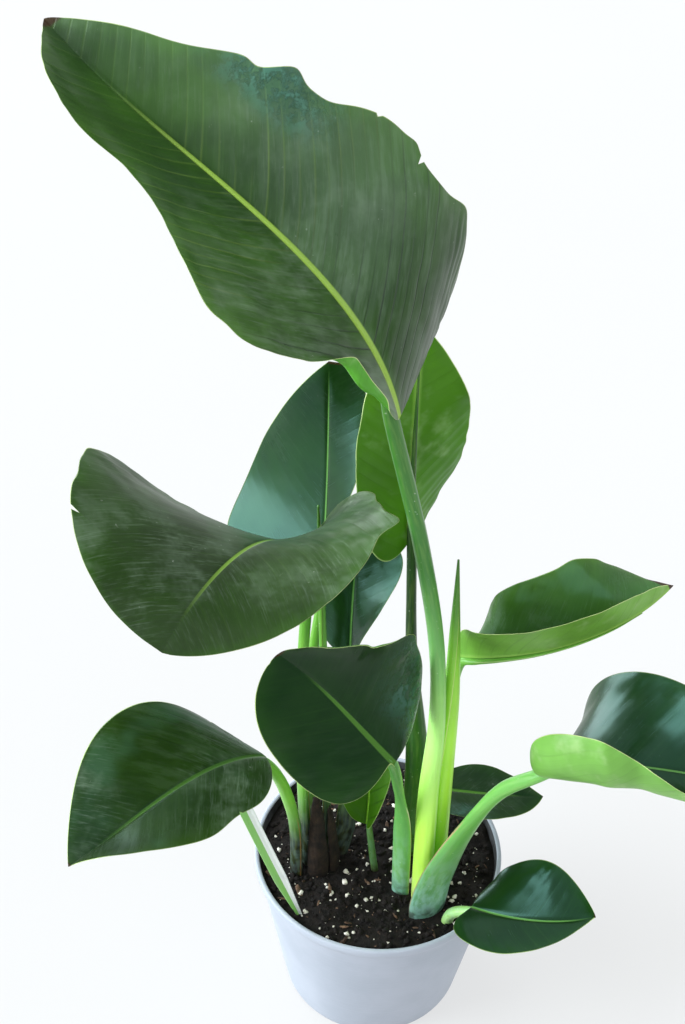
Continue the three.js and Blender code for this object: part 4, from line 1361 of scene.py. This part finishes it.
def swept(
    path: Sequence[Sequence[float]],
    t: np.ndarray,
    ref: np.ndarray,
    size: np.ndarray,
    clasp: np.ndarray,
    sides: int,
) -> Skin:
    """Rings carried along a smooth path.

    Each ring is side * wide cos(angle) + out * deep sin(angle), where out leans towards ref, and the part
    towards ref is scaled by 1 - clasp. Low ribs run along it.

    Args:
        path: Points that the smooth path runs through.
        t: Shares of the path, one per ring.
        ref: The direction that each ring's hollow looks to.
        size: Half width and half depth of each ring.
        clasp: How far each ring's side towards ref is drawn in.
        sides: Points in a ring.

    Returns:
        The closed skin, with UV maps fibres (length, girth) and margin (1 at a sheath's edge).
    """
    track = carried(path, t, ref)
    angle = np.linspace(0, 2 * np.pi, sides, endpoint=False)
    lift = np.sin(angle)[None] * np.where(np.sin(angle)[None] > 0, 1 - clasp[:, None], 1)
    rib = 1 + RIB_HEIGHT * np.cos(angle * RIBS)[None]
    ring = ringed(track, size[:, :1] * rib * np.cos(angle)[None], size[:, 1:] * rib * lift)
    length = np.concatenate([[0], np.cumsum(np.linalg.norm(np.diff(track[0], axis=0), axis=1))])
    girth = np.abs(angle - np.pi)[None] / np.pi * size[:, :1] * 3
    fibres = np.stack([np.broadcast_to(length[:, None], girth.shape), girth], -1) / UV_UNIT
    edge = np.abs(np.cos(angle))[None] ** 60 * smooth(0.35, 0.7, clasp)[:, None]
    margin = np.stack([edge, np.broadcast_to(clasp[:, None], edge.shape)], -1)
    return tube(ring, {"fibres": fibres, "margin": margin})


@dataclass
class Spear:
    """A new leaf, still rolled: a tapering tube whose section is one turn of a spiral.

    The free edge stands at the angle start at the foot and has turned by twist at the tip, in radians.
    """

    name: str
    path: tuple[Knots, ...]
    girth: tuple[float, ...]
    finish: str
    overlap: float = 0.16
    start: float = -1.2
    twist: float = 2.2
    rings: int = 130
    sides: int = 48

    def skin(self) -> Skin:
        """Rings of radius size (1 - overlap + overlap angle / 2pi), whose step is the blade's free edge.

        Returns:
            The closed skin, with the same maps as a stalk.
        """
        t = np.linspace(0, 1, self.rings)
        radius = evenly(np.array(self.girth)[:, None], t)
        track = carried(self.path, t, np.array([1.0, 0, 0]))
        turn = np.linspace(0, 1, self.sides)
        angle = 2 * np.pi * turn[None] + self.twist * t[:, None] + self.start
        reach = radius * (1 - self.overlap + self.overlap * turn[None])
        ring = ringed(track, reach * np.cos(angle), reach * np.sin(angle))
        length = np.linspace(0, 3, self.rings)[:, None]
        fibres = np.stack(np.broadcast_arrays(length, turn[None] * 0.3), -1)
        edge = np.broadcast_to(smooth(0.97, 1, turn)[None], angle.shape)
        return tube(ring, {"fibres": fibres, "margin": np.stack([edge, edge], -1)})


@dataclass
class DrySheath:
    """A papery old sheath, hollow towards its shoot, with a ragged top."""

    name: str
    path: tuple[Knots, ...]
    girth: tuple[tuple[float, float], ...]
    face: float
    clasp: float
    rings: int = 90
    sides: int = 44
    crease: Knots = (0.35, 0.21, 0)

    def skin(self) -> Skin:
        """A swept crescent, creased by noise along its length."""
        t = np.linspace(0, 1, self.rings)
        angle = math.radians(self.face)
        ref = np.tile([math.cos(angle), math.sin(angle), 0.0], (len(t), 1))
        skin = swept(self.path, t, ref, evenly(self.girth, t), np.full(len(t), self.clasp), self.sides)
        x, y, z = skin.points.T
        folds = rough(x * 3 + y * 2, z * 0.25, 3.2, 40)
        skin.points = skin.points + folds[:, None] * np.array(self.crease)
        return skin


# ------------------------------------------------------------------------------- pot, mix and stake


@dataclass
class NurseryPot:
    """The moulded pot: a thin tapered wall under a short straight lip, with drain holes in its floor."""

    size: PotSize = POT
    sides: int = 160
    drill_run: tuple[float, float] = (-5.0, 9.0)

    def skin(self) -> Skin:
        """A profile turned about the axis and closed on itself, from the floor's middle round and back.

        Returns:
            The closed skin, without its drain holes, and with its inner wall in the second material.
        """
        p = self.size
        lip = p.height - p.lip_height

        def wall(z: float) -> float:
            """The outer wall's radius at a height."""
            return p.inside(z) + p.wall

        heights = np.linspace(3, lip - 0.6, 18)
        profile = [(0.5, 0.8), (p.base - 7, 0.8), (p.base - 5.5, 0.0), (p.base - 1.4, 0.0)]
        profile += [(p.base - 0.4, 0.5), (p.base, 1.5)] + [(wall(z), z) for z in heights]
        profile += [(wall(lip) + 0.2, lip), (p.rim - 0.4, lip + 0.9), (p.rim, lip + 1.8)]
        profile += [(p.rim, p.height - 1.2), (p.rim - 0.3, p.height - 0.4), (p.rim - 0.9, p.height)]
        profile += [(p.inside(p.height) + 0.7, p.height), (p.inside(p.height) + 0.1, p.height - 0.4)]
        profile += [(p.inside(p.height - 1), p.height - 1)]
        outer = (len(profile) - 1) * self.sides
        profile += [(p.inside(z), z) for z in np.linspace(p.height - 3, p.floor + 1.2, 16)]
        profile += [(p.inside(p.floor) - 1.2, p.floor), (0.5, p.floor)]
        radius, height = np.array(profile).T
        angle = np.linspace(0, 2 * np.pi, self.sides, endpoint=False)
        out_of_round = 1 + 0.0016 * np.sin(2 * angle + 0.6) + 0.0008 * np.sin(5 * angle)
        ring = np.stack(
            [
                radius[:, None] * np.cos(angle) * out_of_round,
                radius[:, None] * np.sin(angle) * out_of_round,
                np.broadcast_to(height[:, None], (len(radius), self.sides)),
            ],
            -1,
        )
        skin = tube(ring)
        wall_faces, foot, top = skin.faces
        skin.faces = [wall_faces[:outer], foot, wall_faces[outer:], top]
        skin.slots = [0, 0, 1, 1]
        return skin

    def drill(self, pot: bpy.types.Object) -> None:
        """Cuts the drain holes through the floor of the finished pot, and keeps the result in its mesh."""
        p = self.size
        sides = 24
        angle = np.linspace(0, 2 * np.pi, sides, endpoint=False)
        skins = []
        for k in range(p.holes):
            turn = 2 * np.pi * (k + 0.5) / p.holes
            x = p.hole_circle * math.cos(turn) + p.hole_radius * np.cos(angle)
            y = p.hole_circle * math.sin(turn) + p.hole_radius * np.sin(angle)
            skins.append(tube(np.stack([np.stack([x, y, np.full(sides, z)], -1) for z in self.drill_run])))
        count = len(skins[0].points)
        blocks = [block + k * count for k, skin in enumerate(skins) for block in skin.faces]
        mesh = bpy.data.meshes.new("drills")
        points = np.vstack([skin.points for skin in skins]) * MM
        mesh.from_pydata(points.tolist(), [], [row for block in blocks for row in block.tolist()])
        drills = placed("drills", mesh)
        cut = pot.modifiers.new("drain holes", "BOOLEAN")
        cut.object = drills
        cut.operation = "DIFFERENCE"
        cut.solver = "EXACT"
        bpy.context.view_layer.update()
        graph = bpy.context.evaluated_depsgraph_get()
        drilled = bpy.data.meshes.new_from_object(pot.evaluated_get(graph))
        pot.modifiers.clear()
        pot.data = drilled
        drilled.name = pot.name
        bpy.data.objects.remove(drills)


@dataclass(frozen=True)
class Litter:
    """Small pieces that lie on the mix.

    count of them are drawn with seed. size is their smallest and largest half length in millimetres, shape
    their length, width and height against it, and sunk the share of its height that a piece is sunk by.
    """

    name: str
    material: str
    count: int
    seed: int
    size: tuple[float, float]
    shape: Knots
    sunk: float


@dataclass
class PottingMix:
    """The dark mix: a lumpy bed with crumbs, bark chips and perlite on it, clear of the stems' feet."""

    size: PotSize = POT
    clear: float = 0.5
    dent: float = 0.38
    litter: tuple[Litter, ...] = (
        Litter("mix_crumbs", "peat", 1500, 11, (0.6, 2.6), (1, 0.8, 0.7), 0.35),
        Litter("mix_bark", "bark", 170, 23, (0.9, 5.0), (1, 0.3, 0.18), 0.2),
        Litter("mix_perlite", "perlite", 340, 37, (0.3, 2.3), (1, 0.8, 0.7), 0.35),
    )

    def level(self, x: np.ndarray, y: np.ndarray) -> np.ndarray:
        """The bed's height: long swells, clods and grit."""
        swell = np.sin(x / 17 + 1) * np.cos(y / 13) + 0.6 * np.sin(x / 7 - y / 9)
        return self.size.soil + 0.7 * swell + 1.1 * rough(x, y, 9, 3, 4)

    def bed(self) -> Skin:
        """The mix as one body: its top is the level over rings of points, its side follows the pot's wall.

        Returns:
            The closed skin.
        """
        sides, count, courses = 320, 96, 8
        edge = self.size.inside(self.size.soil) - FIT
        angle = np.linspace(0, 2 * np.pi, sides, endpoint=False)
        radius = np.linspace(edge, 0.4, count)
        low = np.linspace(self.size.floor + FIT, self.size.soil - 4, courses)
        wall = np.stack([(self.size.inside(low) - FIT), low], -1)
        r = np.concatenate([[0.5], wall[:, 0], radius])
        x, y = r[:, None] * np.cos(angle), r[:, None] * np.sin(angle)
        dip = 1.6 * smooth(edge - 4, edge, radius)[:, None]
        top = self.level(x[-count:], y[-count:]) - dip
        z = np.vstack([np.full((1, sides), low[0]), np.broadcast_to(low[:, None], (courses, sides)), top])
        return tube(np.stack([x, y, z], -1))

    def scattered(self, count: int, seed: int) -> np.ndarray:
        """Places on the bed, clear of the stems' feet.

        Args:
            count: How many to draw.
            seed: Seed of the draw.

        Returns:
            Points of shape (kept, 3).
        """
        draw = np.random.default_rng(seed)
        edge = self.size.inside(self.size.soil) - 3
        radius = edge * np.sqrt(draw.random(count))
        angle = draw.random(count) * 2 * np.pi
        x, y = radius * np.cos(angle), radius * np.sin(angle)
        feet = np.array([leaf.foot for leaf in LEAVES])
        reach = np.array([leaf.girth[0][0] for leaf in LEAVES])
        gap = np.hypot(x[:, None] - feet[:, 0], y[:, None] - feet[:, 1]) - reach
        kept = gap.min(1) > self.clear
        return np.stack([x, y, self.level(x, y)], -1)[kept]

    def strewn(self, kind: Litter) -> Skin:
        """One kind of litter as one skin: balls of 42 points, dented at random, sized, turned and placed.

        Args:
            kind: What lies there.

        Returns:
            The skin.
        """
        ball, faces = self.ball()
        where = self.scattered(kind.count, kind.seed)
        draw = np.random.default_rng(kind.seed + 1)
        many = len(where)
        small, large = kind.size
        scale = small + (large - small) * draw.random(many) ** 3
        dents = 1 + self.dent * draw.uniform(-1, 1, (many, len(ball), 1))
        turn, tilt = draw.random(many) * 2 * np.pi, draw.normal(0, 0.35, many)
        local = ball[None] * dents * np.array(kind.shape) * scale[:, None, None]
        x, y, z = local[..., 0], local[..., 1], local[..., 2]
        x, z = turned(x, z, tilt[:, None])
        x, y = turned(x, y, turn[:, None])
        points = np.stack([x, y, z], -1) + where[:, None]
        points[..., 2] += (scale * kind.shape[2] * (1 - 2 * kind.sunk))[:, None]
        index = faces[None] + (np.arange(many) * len(ball))[:, None, None]
        return Skin(points.reshape(-1, 3), [index.reshape(-1, 3)])

    @staticmethod
    def ball() -> tuple[np.ndarray, np.ndarray]:
        """A unit ball of 42 points: each face of an icosahedron split in four and pushed out to the sphere.

        Returns:
            Points of shape (42, 3) and faces of shape (80, 3).
        """
        g = (1 + math.sqrt(5)) / 2
        corners = [(-1, g, 0), (1, g, 0), (-1, -g, 0), (1, -g, 0), (0, -1, g), (0, 1, g)]
        corners += [(0, -1, -g), (0, 1, -g), (g, 0, -1), (g, 0, 1), (-g, 0, -1), (-g, 0, 1)]
        faces = [(0, 11, 5), (0, 5, 1), (0, 1, 7), (0, 7, 10), (0, 10, 11), (1, 5, 9), (5, 11, 4)]
        faces += [(11, 10, 2), (10, 7, 6), (7, 1, 8), (3, 9, 4), (3, 4, 2), (3, 2, 6), (3, 6, 8)]
        faces += [(3, 8, 9), (4, 9, 5), (2, 4, 11), (6, 2, 10), (8, 6, 7), (9, 8, 1)]
        points = [np.array(c) / math.hypot(1, g) for c in corners]
        halves: dict[tuple[int, int], int] = {}

        def between(a: int, b: int) -> int:
            """The number of the point halfway between two others, made once."""
            key = (min(a, b), max(a, b))
            if key not in halves:
                halves[key] = len(points)
                points.append(unit(points[a] + points[b]))
            return halves[key]

        small = []
        for a, b, c in faces:
            ab, bc, ca = between(a, b), between(b, c), between(c, a)
            small += [(a, ab, ca), (b, bc, ab), (c, ca, bc), (ab, bc, ca)]
        return np.array(points), np.array(small)


@dataclass
class CareStake:
    """A thin strip of plastic folded along its length, pointed at its foot, that leans out over the rim."""

    length: float = 150
    width: float = 7.5
    thickness: float = 0.7
    foot: Knots = (-46, -52, 99)
    lean: Knots = (-0.33, 0, 0.944)
    front_leg: Knots = (0.9, -0.3, 0.28)
    back_leg: Knots = (-0.45, -0.85, -0.14)
    sag: Knots = (0, 6, 0)
    rings: int = 60

    def skin(self) -> Skin:
        """Rings of ten points round a V: both legs' outer and inner faces, widening from the foot.

        Returns:
            The closed skin: the front leg's faces come first, then the back leg's.
        """
        s = np.linspace(0, 1, self.rings)[:, None]
        lean, front, back = (unit(np.array(way)) for way in (self.lean, self.front_leg, self.back_leg))
        half = self.thickness / 2
        front_out = unit(np.cross(front, lean)) * half
        back_out = unit(np.cross(lean, back)) * half
        spine = np.array(self.foot) + lean * self.length * s + np.array(self.sag) * s**2
        w = self.width * np.minimum(1, 0.08 + s * 2.4) * 0.72
        ring = [
            spine + front * w + front_out,
            spine + front * w - front_out,
            spine + front * w * 0.5 - front_out,
            spine - front_out - back_out,
            spine + back * w * 0.5 - back_out,
            spine + back * w - back_out,
            spine + back * w + back_out,
            spine + back * w * 0.5 + back_out,
            spine + front_out + back_out,
            spine + front * w * 0.5 + front_out,
        ]
        skin = tube(np.stack(ring, 1))
        wall = skin.faces[0].reshape(self.rings - 1, len(ring), 4)
        first = wall[:, [0, 1, 2, 8, 9]].reshape(-1, 4)
        second = wall[:, [3, 4, 5, 6, 7]].reshape(-1, 4)
        skin.faces = [first, second, skin.faces[1], skin.faces[2]]
        skin.slots = [0, 1, 0, 0]
        return skin


# ------------------------------------------------------------------------------- the set


def facing(*columns: np.ndarray) -> Matrix:
    """The placing of a camera or lamp: its own three axes as columns, then its place in metres."""
    rows = np.eye(4)
    rows[:3, : len(columns)] = np.stack(columns, 1)
    return Matrix(rows.tolist())


@dataclass(frozen=True)
class Window:
    """One far soft lamp: where it stands about +Z from +X and above the horizon, and how wide it looks."""

    name: str
    azimuth: float
    height: float
    spread: float
    strength: float
    colour: Colour = (0.88, 0.96, 1)

    def hang(self) -> None:
        """Sets the lamp to shine from its direction, given by its two angles in degrees."""
        data = bpy.data.lights.new(self.name, "SUN")
        data.energy = self.strength
        data.angle = math.radians(self.spread)
        data.color = self.colour
        a, e = math.radians(self.azimuth), math.radians(self.height)
        towards = np.array([math.cos(e) * math.cos(a), math.cos(e) * math.sin(a), math.sin(e)])
        side = unit(np.cross([0, 0, 1.0], towards))
        placed(self.name, data).matrix_world = facing(side, np.cross(towards, side), towards)


@dataclass(frozen=True)
class Studio:
    """The floor, the soft daylight and the camera. Lengths are in millimetres where not said otherwise."""

    camera_place: Knots = (-32, -636, 903)
    pitch: float = 37.6
    tilt: float = 1.9
    lens: float = 50
    sensor: float = 36
    view_end: float = 50  # metres
    floor_reach: float = 8.0  # metres
    floor_colour: float = 0.17
    floor_glow: float = 0.645
    room_colour: Colour = (0.97, 0.985, 1.0)
    room_level: float = 0.35
    room_slope: Knots = (-0.1, 0.1, 0.8)
    windows: tuple[Window, ...] = (
        Window("left window", 187, 14, 50, 4.9),
        Window("back window", 128, 12, 32, 1.9),
        Window("high window", 192, 50, 34, 2.0),
        Window("front window", 318, 14, 60, 1.1),
    )

    def floor(self) -> None:
        """A wide pale floor that runs on past the view."""
        board = Board.material("floor")
        cloud = board.noise(board.place(), 1.5, 2) * 0.02
        material = board.finish(
            Base_Color=board.mix(cloud, (self.floor_colour,) * 3, (1.0, 1.0, 1.0)),
            Roughness=0.85,
            Specular_IOR_Level=0.1,
            Emission_Color=(0.985, 0.993, 1.0, 1),
            Emission_Strength=self.floor_glow,
        )
        mesh = bpy.data.meshes.new("floor")
        r = self.floor_reach
        mesh.from_pydata([(-r, -r, 0), (r, -r, 0), (r, r, 0), (-r, r, 0)], [], [(0, 1, 2, 3)])
        mesh.materials.append(material)
        floor = placed("floor", mesh)

    def camera(self) -> None:
        """A camera that looks along +Y, down by pitch and turned by tilt about its own axis."""
        p, r = math.radians(self.pitch), math.radians(self.tilt)
        forward = np.array([0, math.cos(p), -math.sin(p)])
        right = np.array([1.0, 0, 0])
        up = np.cross(right, forward)
        side = right * math.cos(r) + up * math.sin(r)
        top = up * math.cos(r) - right * math.sin(r)
        data = bpy.data.cameras.new("camera")
        data.lens = self.lens
        data.sensor_width = self.sensor
        data.clip_end = self.view_end
        camera = placed("camera", data)
        camera.matrix_world = facing(side, top, -forward, np.array(self.camera_place) * MM)
        bpy.context.scene.camera = camera

    def light(self) -> None:
        """Windows at the left and behind, a broad weak one at the front right, and a room palest overhead.

        The room's light is a level plus the dot product of its slope with the direction looked in.
        """
        for window in self.windows:
            window.hang()
        world = bpy.data.worlds.new("room")
        board = Board(world)
        ways = {0: board.node("ShaderNodeTexCoord").outputs["Generated"], 1: self.room_slope}
        slope = board.node("ShaderNodeVectorMath", {"operation": "DOT_PRODUCT"}, ways)
        level = Wire(board, slope.outputs["Value"]) + self.room_level
        back = board.node("ShaderNodeBackground", values={0: self.room_colour, 1: level}).outputs[0]
        board.node("ShaderNodeOutputWorld", values={0: back})
        bpy.context.scene.world = world
        bpy.context.scene.view_settings.view_transform = "Standard"


# ------------------------------------------------------------------------------- assembly


def dress_leaves() -> None:
    """Builds every blade and stalk."""
    faces = {tone: (finish.upper(), finish.lower()) for tone, finish in BLADE_FINISHES.items()}
    stalks = {name: finish.build() for name, finish in STALK_FINISHES.items()}
    for leaf in LEAVES:
        name = leaf.name
        Blade(leaf).skin().piece("leaf_" + name, faces[leaf.tone], "leaf_blade", [name + "_blade"])
        Stalk(leaf).skin().piece("sheath_" + name, [stalks[leaf.sheath]], "leaf_stalk", [name + "_stalk"])
    spears = (
        Spear(
            "main_spear",
            ((38, -33, 97), (36.6, -33, 220), (36.6, -31.5, 300), (35, -29, 352), (33, -28, 404)),
            (7, 6.6, 5.4, 3.5, 0.7), "shoot",
        ),
        Spear(
            "left_spear",
            ((-35, 0, 97), (-37, 10, 200), (-42, 27, 300), (-44.5, 34, 350), (-46.5, 37, 389)),
            (3.2, 3, 2.6, 2.2, 0.8), "side",
        ),
    )
    for spear in spears:
        spear.skin().piece("rolled_" + spear.name, [stalks[spear.finish]], "leaf_stalk", [spear.name])
    papery = GrainFinish("dry_sheath", srgb(16, 12, 10), srgb(54, 41, 30), 60, 0.0008, 0.85).build()
    sheaths = (
        DrySheath(
            "dry_sheath_front", ((-40, -19, 97), (-41, -18, 135), (-42, -15, 165), (-43, -13, 188)),
            ((7.5, 4), (7, 4), (5, 3), (2, 1.4)), 100, 1.35,
        ),
        DrySheath(
            "dry_sheath_right", ((-30, -12, 97), (-31, -11, 130), (-33, -9, 152), (-35, -8, 172)),
            ((6, 4), (6, 4), (5, 3), (2, 1.5)), 160, 1.3,
        ),
    )
    for sheath in sheaths:
        sheath.skin().piece("papery_" + sheath.name, [papery], "dry_sheath", [sheath.name])


def dress_pot() -> None:
    """Builds the pot, the mix with all that lies on it, and the care stake."""
    holder = NurseryPot()
    # the pot's inner wall is near-black: painted shade inside the pot
    painted_shade_inside = GrainFinish("pot_inside", srgb(26, 24, 24), srgb(88, 90, 94), 40, 0.0004, 0.7).build()
    pot = holder.skin().piece("nursery_pot", [pot_plastic(), painted_shade_inside], "pot_plastic", ["pot"])
    holder.drill(pot)
    mix = PottingMix()
    grounds = (
        GrainFinish("peat", srgb(7, 5, 5), srgb(32, 24, 20), 260, 0.0012, 0.85),
        GrainFinish("bark", srgb(34, 23, 18), srgb(136, 106, 84), 160, 0.0006, 0.8),
        GrainFinish("perlite", srgb(206, 198, 182), srgb(246, 243, 234), 240, 0.0003, 0.8),
    )
    materials = {ground.name: ground.build() for ground in grounds}
    mix.bed().piece("mix_bed", [materials["peat"]], "potting_mix", ["soil"])
    for kind in mix.litter:
        mix.strewn(kind).piece(kind.name, [materials[kind.material]], "potting_mix")
    white = stake_plastic("stake_white", srgb(236, 240, 238))
    green = stake_plastic("stake_green", srgb(128, 186, 96))
    CareStake().skin().piece("care_strip", [white, green], "stake_plastic", ["care_stake"])


def main() -> None:
    """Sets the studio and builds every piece."""
    logging.basicConfig(level=logging.INFO, format="%(message)s")
    studio = Studio()
    studio.camera()
    studio.floor()
    studio.light()
    dress_pot()
    dress_leaves()


if __name__ == "__main__":
    main()
